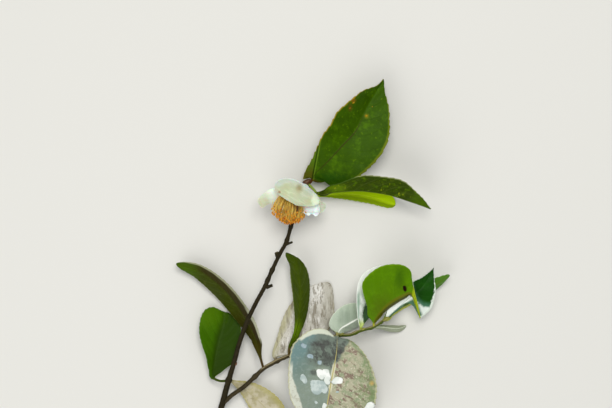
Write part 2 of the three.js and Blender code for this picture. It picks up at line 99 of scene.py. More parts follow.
# Flower, as in the part's source.
FLOWER_BASE = np.array([-9.0, 30.2, 16.6])
FLOWER_AXIS = np.array([-2.9, -15.3, -0.6]) / np.linalg.norm([-2.9, -15.3, -0.6])
CALYX_RADIUS = 2.7
CALYX_LENGTH = 2.6
PETAL_CLAW_HALF_WIDTH = 1.1
STAMEN_LENGTH = 14.0
STAMEN_SPREAD = 7.6
STAMEN_NECK = 1.5

# What the fine flower has besides.
CUP_ROWS = 10
CUP_SIDES = 24
SEPAL_COUNT = 5
SEPAL_THICKNESS = 0.35
SEPAL_PROFILE = ((-2.3, 0.9), (-1.6, 2.3), (-0.2, 3.1), (1.0, 3.2))
SEPAL_WIDTHS = (1.5, 1.9, 2.0, 1.6, 0.9)
PETAL_THICKNESS = 0.22
PETAL_LINES = 26.0
STAMEN_FOOT = 0.5
STAMEN_COUNT = 220
STAMEN_DOME = 0.28
STAMEN_UNEVENNESS = 3.2
STAMEN_JITTER = 6
STAMEN_TWIST = 7
GOLDEN_ANGLE = 137.508

# Twigs.
STEM_RADII = (1.5, 1.35, 1.05, 0.95, 0.9, 0.85, 0.7)
SIDE_TWIG_RADII = (1.0, 0.95, 0.9, 0.85, 0.75, 0.6)
FLOWER_STALK_RADII = (0.7, 0.65, 0.8)
NODE_SWELLING = 0.3
NODE_LENGTH = 1.8
TWIG_SIDES = 20
TWIG_STEP = 0.55
LEAST_RINGS = 6
TIP_BLUNTNESS = 0.4

# Bark: how high it stands, its ridges round a twig and their length, and its bumps.
BARK_RELIEF = 0.07
BARK_RIDGES, BARK_RIDGE_LENGTH, RIDGE_WEIGHT = 4, 5, 1.2
BARK_BUMPS, BUMP_WEIGHT = 0.9, 1.6

# Looks: sizes of grain in mm, and how far the edges of cells reach, as a share of a cell.
SPOT_GRAIN = 1.2
ROUGHNESS_GRAIN = 1.5
CELL_EDGE = (0.12, 0.02)

# Floor and sky.
FLOOR_HALF = 900.0
SKY_COLOUR = (0.95, 0.98, 1.0, 1.0)
SKY_STRENGTH = 0.42


def unit(vectors):
    return vectors / np.linalg.norm(vectors, axis=-1, keepdims=True)


def smooth(low, high, value):
    share = np.clip((value - low) / (high - low), 0, 1)
    return share * share * (3 - 2 * share)


class Curve:
    """A smooth line through points, read by its share of the length."""

    STEPS = 40

    def __init__(self, points):
        given = np.array(points, float)
        padded = np.vstack([2 * given[:1] - given[1:2], given, 2 * given[-1:] - given[-2:-1]])
        t = np.linspace(0, 1, self.STEPS, endpoint=False)[:, None]
        spans = []
        for a, b, c, d in zip(padded, padded[1:], padded[2:], padded[3:]):
            chords = ((a, b), (b, c), (c, d))
            before, span, after = (math.sqrt(np.linalg.norm(q - p)) for p, q in chords)
            leave = ((b - a) / before - (c - a) / (before + span) + (c - b) / span) * span
            arrive = ((c - b) / span - (d - b) / (span + after) + (d - c) / after) * span
            cubic = 2 * b - 2 * c + leave + arrive
            square = -3 * b + 3 * c - 2 * leave - arrive
            spans.append(b + leave * t + square * t**2 + cubic * t**3)
        self.points = np.vstack(spans + [given[-1:]])
        steps = np.linalg.norm(np.diff(self.points, axis=0), axis=1)
        self.reach = np.concatenate([[0], np.cumsum(steps)])
        self.length = self.reach[-1]

    def at(self, share):
        place = np.asarray(share, float) * self.length
        return np.stack([np.interp(place, self.reach, self.points[:, k]) for k in range(3)], -1)

    def along(self, share):
        ahead = np.clip(np.asarray(share, float) + NUDGE_ALONG, 0, 1)
        behind = np.clip(np.asarray(share, float) - NUDGE_ALONG, 0, 1)
        return unit(self.at(ahead) - self.at(behind))


def half_width(widths, base, share):
    """A half width at a share of the blade, through values given close together at its ends."""
    given = np.array([base, *widths, TIP_HALF_WIDTH], float)
    last = len(given) - 1
    place = np.arccos(np.clip(1 - 2 * share, -1, 1)) / math.pi * last
    below = np.clip(place.astype(int), 0, last - 1)
    t = place - below
    a, b, c, d = (given[np.clip(below + k, 0, last)] for k in (-1, 0, 1, 2))
    leave, arrive = (c - a) / 2, (d - b) / 2
    value = b + leave * t + (3 * c - 3 * b - 2 * leave - arrive) * t**2
    return np.maximum(TIP_HALF_WIDTH, value + (2 * b - 2 * c + leave + arrive) * t**3)


@dataclass
class Blade:
    """A leaf or petal as a surface: s is the share along its spine, t runs across from -1 to 1.

    A side reaches as far as its widths and rises say, or to an edge given as points, which
    goes on to the spine's tip. Rises and bends are in degrees, for the left and right side.
    """

    spine: list
    left: tuple = ()
    right: tuple = ()
    left_edge: list = None
    right_edge: list = None
    left_rise: tuple = (0, 0, 0)
    right_rise: tuple = (0, 0, 0)
    bends: tuple = (0, 0)
    arched: bool = False
    bulge: float = 0.0
    softness: float = RIDGE_SOFTNESS
    fold: tuple = None
    side: np.ndarray = None
    stalk: float = LEAF_STALK_SHARE
    stalk_half_width: float = LEAF_STALK_HALF_WIDTH
    teeth: int = 0
    tooth_depth: float = 0.35
    wave: float = 0.0
    waves: float = 3.5
    crumple: float = 0.0
    crumple_size: float = 4.0
    veins: int = 8

    def __post_init__(self):
        self.curve = Curve(self.spine)
        self.widths = (self.left, self.right)
        edges = (self.left_edge, self.right_edge)
        self.edges = [Curve([*edge, self.spine[-1]]) if edge else None for edge in edges]
        self.rises = (self.left_rise, self.right_rise)

    def blade_share(self, s):
        return (np.asarray(s, float) - self.stalk) / (1 - self.stalk)

    def opened(self, s):
        return np.clip(self.blade_share(s) * OPENING_RATE, 0, 1)

    def side_reach(self, k, s):
        at = np.clip(self.blade_share(s), 0, 1)
        if self.edges[k] is None:
            return half_width(self.widths[k], self.stalk_half_width, at)
        weight = smooth(0, EDGE_START, at)
        away = np.linalg.norm(self.edges[k].at(at) - self.curve.at(s), axis=-1)
        return np.maximum(self.stalk_half_width * (1 - weight) + away * weight, TIP_HALF_WIDTH)

    def reach(self, s, hand, share):
        """How far it is from the spine to the margin, with the teeth."""
        reach = np.where(hand < 0, self.side_reach(0, s), self.side_reach(1, s))
        if self.teeth:
            at = self.blade_share(s)
            weight = smooth(TEETH_START, TEETH_FULL, at) * smooth(1, TEETH_FADE, at)
            reach = reach - self.tooth_depth * (1 - (at * self.teeth) % 1) * weight * share**TOOTH_SHARPNESS
        return reach

    def surface(self, s, t):
        s, t = np.broadcast_arrays(np.asarray(s, float), np.asarray(t, float))
        hand, share = np.where(t < 0, -1, 1), np.abs(t)
        spine, along = self.curve.at(s), self.curve.along(s)
        rightward = np.cross(along, UP) if self.side is None else np.broadcast_to(self.side, along.shape)
        rightward = unit(rightward - along * (rightward * along).sum(-1, keepdims=True))
        outward = np.cross(rightward, along)
        at, opened = np.clip(self.blade_share(s), 0, 1), self.opened(s)
        rises = [np.interp(at, (0, 0.5, 1), rise) for rise in self.rises]
        turn = np.radians(np.where(hand < 0, *self.bends))
        angle = (np.radians(np.where(hand < 0, *rises)) + turn * share / 2) * opened
        toward = rightward * (hand * np.cos(angle))[..., None] + outward * np.sin(angle)[..., None]
        for edge, edge_hand in zip(self.edges, (-1, 1)):
            if edge is not None:
                weight = smooth(0, EDGE_START, at)[..., None]
                aimed = unit(toward * (1 - weight) + unit(edge.at(at) - spine + 1e-9) * weight)
                toward = np.where((hand == edge_hand)[..., None], aimed, toward)
        reach = self.reach(s, hand, share)
        rounded = np.hypot(share, self.softness) - self.softness
        ridge = rounded / (math.hypot(1, self.softness) - self.softness) - share
        lift = reach * ((toward * outward).sum(-1) * ridge + self.bulge * opened * 4 * share * (1 - share))
        phase = 2 * math.pi * (self.waves * at + WAVE_SHIFT * hand)
        lift = lift + self.wave * opened * share**2 * np.sin(phase)
        place = spine + toward * (reach * share)[..., None] + outward * lift[..., None]
        if self.arched:
            place = self.arch(t[..., None], spine, rightward, at)
        if self.fold:
            place[..., 2] -= self.fall(place, opened)
        if self.crumple:
            strength = CRUMPLE_AT_RIDGE + (1 - CRUMPLE_AT_RIDGE) * share
            folds = crumples(place / self.crumple_size) * self.crumple * opened * strength
            place = place + outward * folds[..., None]
        place[..., 2] = np.maximum(place[..., 2], LOWEST)
        return place

    def arch(self, t, spine, rightward, at):
        """A surface with no ridge, which runs from edge to edge over the spine."""
        weight = smooth(0, EDGE_START, at)[..., None]
        left, right = (
            (spine + rightward * hand * self.stalk_half_width) * (1 - weight) + edge.at(at) * weight
            for edge, hand in zip(self.edges, (-1, 1))
        )
        return spine + (right - left) / 2 * t + ((left + right) / 2 - spine) * t * t

    def fall(self, place, opened):
        """How far the blade falls away to the left of a crease between two places in the plan."""
        (x0, y0), (x1, y1), slope = self.fold
        beyond = (x1 - x0) * (place[..., 1] - y0) - (y1 - y0) * (place[..., 0] - x0)
        return slope * opened * np.maximum(0, beyond / math.hypot(x1 - x0, y1 - y0))

    def normal(self, s, t):
        s, t = np.broadcast_arrays(np.asarray(s, float), np.asarray(t, float))
        front, back = (self.surface(np.clip(s + k * NUDGE_ALONG, 0, 1), t) for k in (1, -1))
        right, left = (self.surface(s, np.clip(t + k * NUDGE_ACROSS, -1, 1)) for k in (1, -1))
        return unit(np.cross(right - left, front - back) + 1e-9)

    def vein_phase(self, s, share):
        """It counts the side veins from the stalk, along lines that slant towards the tip."""
        return (self.blade_share(s) - VEIN_SLANT * share**VEIN_CURVE) * self.veins

    def vein_lines(self, s, t):
        """1 on a side vein, falling to 0 beside it, fading towards the margin."""
        share = np.abs(t)
        away = np.abs((self.vein_phase(s, share) + 0.5) % 1 - 0.5)
        line = np.clip(1 - away / VEIN_WIDTH, 0, 1) * smooth(VEIN_END, VEIN_FADE, share)
        return line * smooth(VEINS_START, VEINS_FULL, self.blade_share(s))

    def swell(self, s, t):
        """How the blade bulges between its side veins, from 0 on them to 1."""
        share = np.abs(t)
        return (0.5 - 0.5 * np.cos(2 * math.pi * self.vein_phase(s, share))) * 4 * share * (1 - share)

    def nearest(self, x, y):
        """The shares of the highest point of the surface near a place in the plan."""
        rows = np.linspace(self.stalk, 1, SEARCH_ROWS)
        columns = np.linspace(-SEARCH_REACH, SEARCH_REACH, SEARCH_COLUMNS)
        s, t = np.meshgrid(rows, columns, indexing="ij")
        place = self.surface(s, t)
        away = np.hypot(place[..., 0] - x, place[..., 1] - y) - HEIGHT_PREFERENCE * place[..., 2]
        best = np.unravel_index(np.argmin(away), away.shape)
        return s[best], t[best]


def crumples(places):
    flat = places.reshape(-1, 3)
    return np.array([noise.noise(Vector(p)) for p in flat]).reshape(places.shape[:-1])


# Meshes.

def to_frame(places):
    return (np.asarray(places, float) - MIDDLE) * MM


def make_object(name, places, faces, materials, uv=None, kinds=None):
    """kinds gives each face's material, and a negative one means a flat face."""
    mesh = bpy.data.meshes.new(name)
    mesh.from_pydata(to_frame(places).tolist(), [], faces)
    for material in materials:
        mesh.materials.append(material)
    if uv is not None:
        corners = np.empty(len(mesh.loops), int)
        mesh.loops.foreach_get("vertex_index", corners)
        mesh.uv_layers.new(name="Blade").uv.foreach_set("vector", uv[corners].ravel())
    kinds = kinds or [0] * len(faces)
    mesh.polygons.foreach_set("material_index", [abs(kind) % len(materials) for kind in kinds])
    mesh.polygons.foreach_set("use_smooth", [kind >= 0 for kind in kinds])
    turn_outwards(mesh)
    piece = bpy.data.objects.new(name, mesh)
    bpy.context.scene.collection.objects.link(piece)
    return piece


def turn_outwards(mesh):
    """Makes the faces of each closed shell look outwards."""
    shape = bmesh.new()
    shape.from_mesh(mesh)
    bmesh.ops.recalc_face_normals(shape, faces=shape.faces)
    shape.to_mesh(mesh)
    shape.free()


def place_piece(piece, slot, *nodes):
    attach(piece, "root")
    if nodes:
        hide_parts(*nodes)


def ring_faces(rows, count, start=0):
    faces = []
    for row in range(rows - 1):
        low = start + row * count
        for k in range(count):
            after = (k + 1) % count
            faces.append((low + k, low + after, low + count + after, low + count + k))
    return faces


def blade_object(name, blade, materials, thickness, under_up=False, groove=0.1, swell=SWELL, step=0.45):
    """A closed blade. materials are those of the face that looks up and of the one that looks down."""
    rows = max(LEAST_ROWS, int(blade.curve.length / step), blade.teeth * ROWS_PER_TOOTH)
    s = np.linspace(0, 1, rows)[:, None]
    half_columns = np.array(HALF_COLUMNS)
    t = np.concatenate([-half_columns[:0:-1], half_columns])[None, :]
    middle, normal = blade.surface(s, t), blade.normal(s, t)
    opened, share = blade.opened(s), np.abs(t)
    stalk_half = max(STALK_THICKNESS, thickness) / 2
    half = stalk_half + (thickness / 2 - stalk_half) * opened
    section = ROUND_SECTION + (FLAT_SECTION - ROUND_SECTION) * opened
    profile = np.sqrt(np.clip(1 - share**section, 0, 1))
    rib = np.exp(-((share / RIB_WIDTH) ** 2)) * opened * (1 - RIB_TAPER * s)
    lines = blade.vein_lines(s, t) * opened * VEIN_DEPTH + rib * RIB_DEPTH
    bulge = swell * blade.swell(s, t) * opened
    ridge, dent = RIDGE_TO_GROOVE * groove * lines, groove * lines
    above = half * profile + bulge + (ridge if under_up else -dent)
    below = -half * profile + bulge + (dent if under_up else -ridge)
    upper = middle + normal * above[..., None]
    lower = middle + normal * below[..., None]
    edge = np.s_[:, [0, -1]]
    upper[edge] = lower[edge] = (upper[edge] + lower[edge]) / 2
    rings = np.concatenate([upper, lower[:, -2:0:-1]], axis=1)
    count, columns = rings.shape[1], t.shape[1]
    faces = ring_faces(rows, count)
    kinds = [0 if k < columns - 1 else 1 for _ in range(rows - 1) for k in range(count)]
    for start in (0, (rows - 1) * count):
        cap = [start + k for k in range(count)]
        faces.append(tuple(cap) if start else tuple(reversed(cap)))
        kinds.append(0)
    across = np.concatenate([t[0], t[0, -2:0:-1]])
    uv = np.empty((rows, count, 2))
    uv[..., 0] = (across[None, :] + 1) / 2
    uv[..., 1] = np.clip(blade.blade_share(s), -1, 1)
    return make_object(name, rings.reshape(-1, 3), faces, materials, uv.reshape(-1, 2), kinds)


def patch_rows(blade, x, y, length, width, height, ragged=0.15, sides=24, rings=4):
    """Rings of a thin crust with a ragged outline, lying on a blade at a place in the plan."""
    s0, t0 = blade.nearest(x, y)
    hand = np.array(-1 if t0 < 0 else 1)
    reach = float(blade.reach(s0, hand, np.array(abs(t0))))
    phases = [draw.uniform(0, 2 * math.pi) for _ in range(4)]
    angles = np.linspace(0, 2 * math.pi, sides, endpoint=False)
    outline = 1 + sum(ragged / k * np.sin((k + 1) * angles + phase) for k, phase in enumerate(phases, 1))
    rows = []
    for ring in range(1, rings + 1):
        share = ring / rings
        s = np.clip(s0 + length * share * outline * np.cos(angles) / blade.curve.length, 0, 1)
        t = np.clip(t0 + width * share * outline * np.sin(angles) / reach, -1, 1)
        dome = DOME_HEIGHT * math.sqrt(DOME_ROUNDING - share) - DOME_SINK
        lift = LEAF_THICKNESS / 2 + SWELL * blade.swell(s, t) + height * dome
        rows.append(blade.surface(s, t) + blade.normal(s, t) * lift[..., None])
    return rows


def crust_object(name, crusts, materials):
    places, faces = [], []
    for rows in crusts:
        start, sides = sum(len(p) for p in places), len(rows[0])
        places.extend(rows)
        faces.extend(ring_faces(len(rows), sides, start))
        faces.append(tuple(start + k for k in reversed(range(sides))))
        faces.append(tuple(start + (len(rows) - 1) * sides + k for k in range(sides)))
    return make_object(name, np.vstack(places), faces, materials)


def limb_rings(points, radii, nodes=(), sides=TWIG_SIDES, step=TWIG_STEP, relief=BARK_RELIEF, tips=0):
    """Rings of a tapering limb with bark: swollen nodes, fine ridges along it, and low bumps.

    tips is the number of rings that round off its end. Besides the rings, their faces, the UV
    places and the numbers of rows and sides are given.
    """
    curve = Curve(points)
    rows = max(LEAST_RINGS, int(curve.length / step))
    s = np.linspace(0, 1, rows)
    along = curve.along(s)
    side = np.cross(along[0], UP)
    frames = []
    for direction in along:
        side = unit(side - direction * side.dot(direction))
        frames.append((side, np.cross(direction, side)))
    radius = np.interp(s, np.linspace(0, 1, len(radii)), radii)
    for node in nodes:
        away = np.abs(node - s) * curve.length / NODE_LENGTH
        radius = radius * (1 + NODE_SWELLING * smooth(1, 0, away))
    for row in range(tips):
        radius[-1 - row] *= math.sin(math.pi / 2 * (row + TIP_BLUNTNESS) / (tips + TIP_BLUNTNESS))
    angles = np.linspace(0, 2 * math.pi, sides, endpoint=False)
    centres = curve.at(s)
    rings = []
    for row in range(rows):
        across, over = frames[row]
        for angle in angles:
            out = across * math.cos(angle) + over * math.sin(angle)
            place = centres[row] + out * radius[row]
            around = (BARK_RIDGES * math.cos(angle), BARK_RIDGES * math.sin(angle),
                      s[row] * curve.length / BARK_RIDGE_LENGTH)
            ridges = noise.noise(Vector(around))
            bumps = noise.noise(Vector(place) * BARK_BUMPS)
            rings.append(place + out * relief * (RIDGE_WEIGHT * ridges + BUMP_WEIGHT * bumps))
    uv = np.empty((rows, sides, 2))
    uv[..., 0] = angles[None, :] / (2 * math.pi)
    uv[..., 1] = s[:, None]
    return np.array(rings), ring_faces(rows, sides), uv.reshape(-1, 2), rows, sides


def limb_object(name, limbs, materials):
    """Limbs joined in one mesh, each closed at both ends."""
    places, faces, uvs, kinds, start = [], [], [], [], 0
    for rings, sides_faces, uv, rows, sides in limbs:
        faces.extend(tuple(start + k for k in face) for face in sides_faces)
        faces.append(tuple(start + k for k in reversed(range(sides))))
        faces.append(tuple(start + (rows - 1) * sides + k for k in range(sides)))
        kinds.extend([0] * len(sides_faces) + [-1, -1])
        places.append(rings)
        uvs.append(uv)
        start += len(rings)
    return make_object(name, np.vstack(places), faces, materials, np.vstack(uvs), kinds)


# Materials.

def colour(code):
    """A linear colour from its usual six-digit code."""
    values = [int(code[k : k + 2], 16) / 255 for k in (1, 3, 5)]
    linear = [v / 12.92 if v <= 0.04045 else ((v + 0.055) / 1.055) ** 2.4 for v in values]
    return (*linear, 1.0)


class Look:
    """A material built up layer by layer on one principled surface.

    A mask is a value from 0 to 1. Places and sizes are in mm of the plan.
    """

    def __init__(self, name, base, **sockets):
        self.material = bpy.data.materials.new(name)
        self.material.use_nodes = True
        self.tree = self.material.node_tree
        self.surface = self.tree.nodes["Principled BSDF"]
        for socket, value in sockets.items():
            self.surface.inputs[socket.replace("_", " ")].default_value = value
        self.base = self.node("ShaderNodeRGB").outputs[0]
        self.base.default_value = colour(base)
        self.place = self.node("ShaderNodeTexCoord").outputs["Object"]
        self.east, self.north, _ = self.node("ShaderNodeSeparateXYZ", self.place).outputs
        blade = self.node("ShaderNodeUVMap", uv_map="Blade").outputs[0]
        self.across_share, self.along_share, _ = self.node("ShaderNodeSeparateXYZ", blade).outputs
        self.bumps = []

    def node(self, kind, *values, inputs=None, **settings):
        """Adds a node. values are for its first inputs, and inputs is for others, by name."""
        node = self.tree.nodes.new(kind)
        for key, value in settings.items():
            setattr(node, key, value)
        for key, value in (*enumerate(values), *(inputs or {}).items()):
            self.put(node.inputs[key], value)
        return node

    def put(self, socket, value):
        if isinstance(value, bpy.types.NodeSocket):
            self.tree.links.new(value, socket)
        elif value is not None:
            socket.default_value = value

    def math(self, operation, *values):
        return self.node("ShaderNodeMath", *values, operation=operation).outputs[0]

    def product(self, *masks):
        """1 where all the masks are 1."""
        result = masks[0]
        for mask in masks[1:]:
            result = self.math("MULTIPLY", result, mask)
        return result

    def inverse(self, mask):
        return self.math("SUBTRACT", 1.0, mask)

    def step(self, value, low, high):
        """0 below low and 1 above high, smooth between; the other way round if low is larger."""
        ends = (low, high, 0.0, 1.0) if low < high else (high, low, 1.0, 0.0)
        return self.node("ShaderNodeMapRange", value, *ends, interpolation_type="SMOOTHSTEP").outputs[0]

    def across(self, low, high):
        """A step across a blade, which runs from 0 at its left margin to 1."""
        return self.step(self.across_share, low, high)

    def along(self, low, high):
        """A step along a blade or twig, which runs from 0 at its foot to 1."""
        return self.step(self.along_share, low, high)

    def from_rib(self):
        """The share of the way from a blade's midrib to its margin."""
        return self.math("ABSOLUTE", self.math("MULTIPLY_ADD", self.across_share, 2.0, -1.0))

    def noise(self, size, detail=3.0, rough=0.5, stretch=None, turn=0):
        """Noise over the object, with its grain's size in mm and its turn in degrees."""
        place = self.place
        if stretch:
            inputs = dict(Scale=[1 / part for part in stretch], Rotation=(0, 0, math.radians(turn)))
            place = self.node("ShaderNodeMapping", place, inputs=inputs, vector_type="TEXTURE").outputs[0]
        inputs = dict(Scale=1 / (size * MM), Detail=detail, Roughness=rough)
        return self.node("ShaderNodeTexNoise", place, inputs=inputs).outputs["Fac"]

    def grain(self, low, high, *noise):
        """1 in the patches where noise, given by its size and so on, is above high."""
        return self.step(self.noise(*noise), low, high)

    def wander(self, amount, size):
        """Noise from -amount to amount."""
        return self.math("MULTIPLY_ADD", self.noise(size), 2 * amount, -amount)

    def cells(self, size):
        """1 on the edges of small cells, 0 inside them, with the cells' size in mm."""
        inputs = dict(Scale=1 / (size * MM))
        node = self.node("ShaderNodeTexVoronoi", self.place, inputs=inputs, feature="DISTANCE_TO_EDGE")
        return self.step(node.outputs["Distance"], *CELL_EDGE)

    def plane(self, x, y, direction, softness, ragged=0.0, grain=2.0):
        """1 on the side of a line in the plan that direction points to, in degrees from +X."""
        east, north = math.cos(math.radians(direction)), math.sin(math.radians(direction))
        over = self.math("ADD", self.math("MULTIPLY", self.east, east / MM),
                         self.math("MULTIPLY", self.north, north / MM))
        over = self.math("SUBTRACT", over, (x - MIDDLE[0]) * east + (y - MIDDLE[1]) * north)
        if ragged:
            over = self.math("ADD", over, self.wander(ragged, grain))
        return self.step(over, -softness, softness)

    def band(self, x, y, direction, width, softness=0.15):
        """1 on a narrow band along a line in the plan."""
        east, north = math.cos(math.radians(direction)), math.sin(math.radians(direction))
        beyond = self.plane(x + east * width, y + north * width, direction, softness)
        return self.math("SUBTRACT", self.plane(x, y, direction, softness), beyond)

    def facing(self, direction, low, high):
        """1 where the surface faces a direction."""
        normal = self.node("ShaderNodeTexCoord").outputs["Normal"]
        turned = self.node("ShaderNodeVectorMath", normal, direction, operation="DOT_PRODUCT")
        return self.step(turned.outputs["Value"], low, high)

    def spot(self, x, y, radius, softness=0.4, stretch=(1, 1), ragged=0.5):
        """1 inside a round place in the plan, which is narrower where stretch is over 1."""
        squares = []
        for part, centre, scale in zip((self.east, self.north), (x - MIDDLE[0], y - MIDDLE[1]), stretch):
            away = self.math("MULTIPLY_ADD", part, scale / MM, -centre * scale)
            squares.append(self.math("MULTIPLY", away, away))
        away = self.math("SQRT", self.math("ADD", *squares))
        if ragged:
            away = self.math("ADD", away, self.wander(ragged * radius, SPOT_GRAIN))
        return self.step(away, radius * (1 + softness), radius * (1 - softness))

    def paint(self, code, strength, *masks, **kinds):
        """Lays a colour over the base where all the masks are 1.

        A keyword gives one more mask, by the name of its method and its values. Of the mix
        node, inputs 6 and 7 are the two colours, and output 2 is the mixed one.
        """
        mask = self.product(*masks, *(getattr(self, kind)(*values) for kind, values in kinds.items()))
        if strength != 1.0:
            mask = self.math("MULTIPLY", mask, strength)
        mix = self.node("ShaderNodeMix", data_type="RGBA")
        self.put(mix.inputs[0], mask)
        self.put(mix.inputs[6], self.base)
        self.put(mix.inputs[7], colour(code))
        self.base = mix.outputs[2]

    def bump(self, height, depth):
        self.bumps.append((height, depth))

    def finish(self, rough=None):
        """Links the layers. rough is a pair of roughnesses that fine noise moves between."""
        self.put(self.surface.inputs["Base Color"], self.base)
        if rough:
            low, high = rough
            value = self.math("MULTIPLY_ADD", self.noise(ROUGHNESS_GRAIN, 4), high - low, low)
            self.put(self.surface.inputs["Roughness"], value)
        normal = None
        for height, depth in self.bumps:
            inputs = dict(Height=height, Distance=depth * MM, Strength=1.0, Normal=normal)
            normal = self.node("ShaderNodeBump", inputs=inputs).outputs[0]
        self.put(self.surface.inputs["Normal"], normal)
        return self.material


def leaf_material(name, base, dark, light, vein, rib, margin, veins, stalk="#5b5a2a", rib_width=0.035,
                  rib_until=3.0, margin_width=0.05, rough=(0.35, 0.55), extra=None, over=None, **sockets):
    """The look of one face of a leaf: mottled, veined, with a midrib, a margin and a stalk.

    extra lays its colours under the midrib and the margin, and over lays its own on top of them.
    """
    look = Look(name, base, **sockets)
    share = look.from_rib()
    look.paint(dark, 0.7, grain=(0.5, 0.75, 7.0))
    look.paint(light, 0.6, grain=(0.52, 0.72, 4.2, 5, 0.65))
    net = look.cells(1.1)
    look.paint(vein, 0.14, net)
    slant = look.math("MULTIPLY", look.math("POWER", share, VEIN_CURVE), -VEIN_SLANT)
    phase = look.math("MULTIPLY", look.math("ADD", look.along_share, slant), float(veins))
    lines = look.step(look.math("PINGPONG", phase, 0.5), 0.075, 0.01)
    lines = look.product(lines, look.step(share, 0.97, 0.6))
    look.paint(vein, 0.35, lines)
    if extra:
        extra(look)
    middle = look.step(share, rib_width, rib_width * 0.35)
    look.paint(rib, 1.0, middle, along=(rib_until, rib_until - 0.4))
    start = look.math("MULTIPLY_ADD", look.noise(2.5), margin_width, 1 - 1.5 * margin_width)
    look.paint(margin, 0.85, look.step(look.math("SUBTRACT", share, start), -0.02, 0.02))
    if over:
        over(look)
    look.paint(stalk, 1.0, along=(0.03, -0.01))
    look.bump(look.noise(0.5, 4), 0.03)
    look.bump(net, 0.02)
    look.bump(lines, 0.04)
    return look.finish(rough)


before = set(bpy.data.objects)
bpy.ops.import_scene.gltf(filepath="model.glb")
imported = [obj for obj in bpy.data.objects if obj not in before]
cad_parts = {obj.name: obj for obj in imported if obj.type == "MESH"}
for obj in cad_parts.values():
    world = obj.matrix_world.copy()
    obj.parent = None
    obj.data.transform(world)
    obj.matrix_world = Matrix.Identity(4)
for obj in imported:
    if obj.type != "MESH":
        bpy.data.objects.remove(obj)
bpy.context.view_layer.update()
draw = random.Random(SEED)

# What single leaves have that the others don't.

ROUND_LEAF_BLOTS = (
    (2.4, -38.9, 1.8), (6.0, -38.6, 1.6), (6.4, -45.6, 2.2), (12.2, -41.9, 2.2), (0.4, -51.6, 1.3),
)
TOP_FOLD_SIDE = 169.4


def old_round_zones(look):
    """Bluish at the left, a painted sky reflection, dark at the top, painted shade, beige with strokes at the
    right, pale at both rims, and a painted highlight along part of the midrib.
    """
    fine = look.noise(1.5, 5, 0.7)
    flecks = look.step(fine, 0.5, 0.6)
    look.paint("#71806f", 0.55, grain=(0.46, 0.62, 1.8, 5, 0.7))
    # Painted sky reflection: bluish over the left of the leaf.
    look.paint("#567a7c", 0.8, plane=(-1.5, -47.2, 152, 5.0, 3.0, 6.0))
    look.paint("#7f8d80", 0.6, plane=(-2.0, -52.0, -95, 4.0, 3.0, 6.0))
    look.paint("#63776a", 0.65, spot=(-4.4, -49.8, 4.5, 0.7))
    look.paint("#93a09a", 0.35, look.step(fine, 0.52, 0.62))
    # The top is darker: painted shade.
    top = look.plane(3.5, -48.5, 75, 1.6, 2.4, 4.0)
    top = look.product(top, look.plane(-1.5, -44.0, -14, 3.0, 3.0, 5.0))
    look.paint("#5f6c60", 0.85, top)
    blots = look.grain(0.49, 0.57, 3.0, 5, 0.7, (0.8, 1.3, 1.0), -50)
    look.paint("#33332f", 0.85, blots, top, plane=(0, -37.4, -90, 1.2, 0.6))
    for x, y, radius in ROUND_LEAF_BLOTS:
        look.paint("#2a2925", 0.65, spot=(x, y, radius, 0.5, (0.85, 1.1), 0.8))
    look.paint("#3b4039", 0.6, flecks, top)
    beige = look.plane(7.9, -55.4, -8.5, 0.3, 0.4, 1.5)
    beige = look.product(beige, look.plane(13.7, -42.3, -30, 0.6, 1.2, 3.0))
    look.paint("#aca88c", 0.95, beige)
    look.paint("#82906c", 0.8, beige, grain=(0.47, 0.58, 2.6, 5, 0.7))
    look.paint("#755b4e", 0.85, beige, grain=(0.5, 0.59, 3.0, 4, 0.6, (0.7, 1.5, 1.0), -35))
    look.paint("#77875a", 0.75, beige, look.step(fine, 0.44, 0.56), plane=(21.0, -50.0, -12, 2.5, 1.0))
    look.paint("#d6d1ba", 0.75, beige, grain=(0.57, 0.66, 0.9, 4, 0.7))
    look.paint("#5f7a44", 0.9, fine, across=(0.14, 0.04))
    look.paint("#c8a452", 0.7, spot=(26.3, -56.4, 0.9, 0.9))
    low_edge = look.math("MAXIMUM", look.across(0.94, 0.96), look.plane(-7.4, -59.0, 198, 0.4, 0.7, 2.0))
    low_edge = look.product(low_edge, look.plane(0, -48.0, -90, 2.0, 1.0))
    look.paint("#d0d3c4", 0.95, low_edge)
    look.paint("#a5a18b", 0.55, low_edge, flecks)
    top_edge = look.inverse(look.spot(3.1, -46.9, 12.6, 0.03, ragged=0.03))
    look.paint("#d3d8c4", 0.9, top_edge, look.plane(9.4, -35.0, 180, 0.6), plane=(-4.6, -37.6, 60, 0.8))
    # Painted highlight along part of the midrib.
    lit_rib = look.product(look.plane(0, -47.5, -90, 1.0, 0.6), look.plane(0, -60.0, 90, 1.5, 0.8))
    look.paint("#d6d4b8", 0.75, look.step(look.from_rib(), 0.052, 0.036), lit_rib)


def weathered_streaks_and_highlights(look):
    # The white spot and the whitish streaks are painted highlights; the darker streaks below are the leaf's
    # own.
    look.paint("#f6f5f0", 0.75, spot=(1.6, -15.5, 4.0, 0.8, (1.0, 0.7)))
    look.paint("#eceae4", 0.75, grain=(0.5, 0.62, 2.4, 4, 0.6, (1.7, 0.5, 1.0)))
    look.paint("#a09c68", 0.7, plane=(-11.2, -30.0, 160, 1.6, 1.2))
    look.paint("#a39f8e", 0.6, plane=(4.6, -20.0, 0, 1.6, 1.0))
    look.paint("#837b69", 0.85, grain=(0.5, 0.6, 3.4, 5, 0.7, (2.2, 0.45, 1.0)))
    look.paint("#5d554a", 0.6, grain=(0.62, 0.72, 1.4, 4, 0.6))


def yellowed_patches(look):
    look.paint("#c2baa2", 0.8, grain=(0.44, 0.6, 4.5, 4, 0.6))
    look.paint("#9c9644", 0.6, across=(0.24, 0.08))
    look.paint("#9c9644", 0.5, across=(0.82, 0.94))
    look.paint("#84795a", 0.6, grain=(0.6, 0.7, 1.4, 4, 0.65))


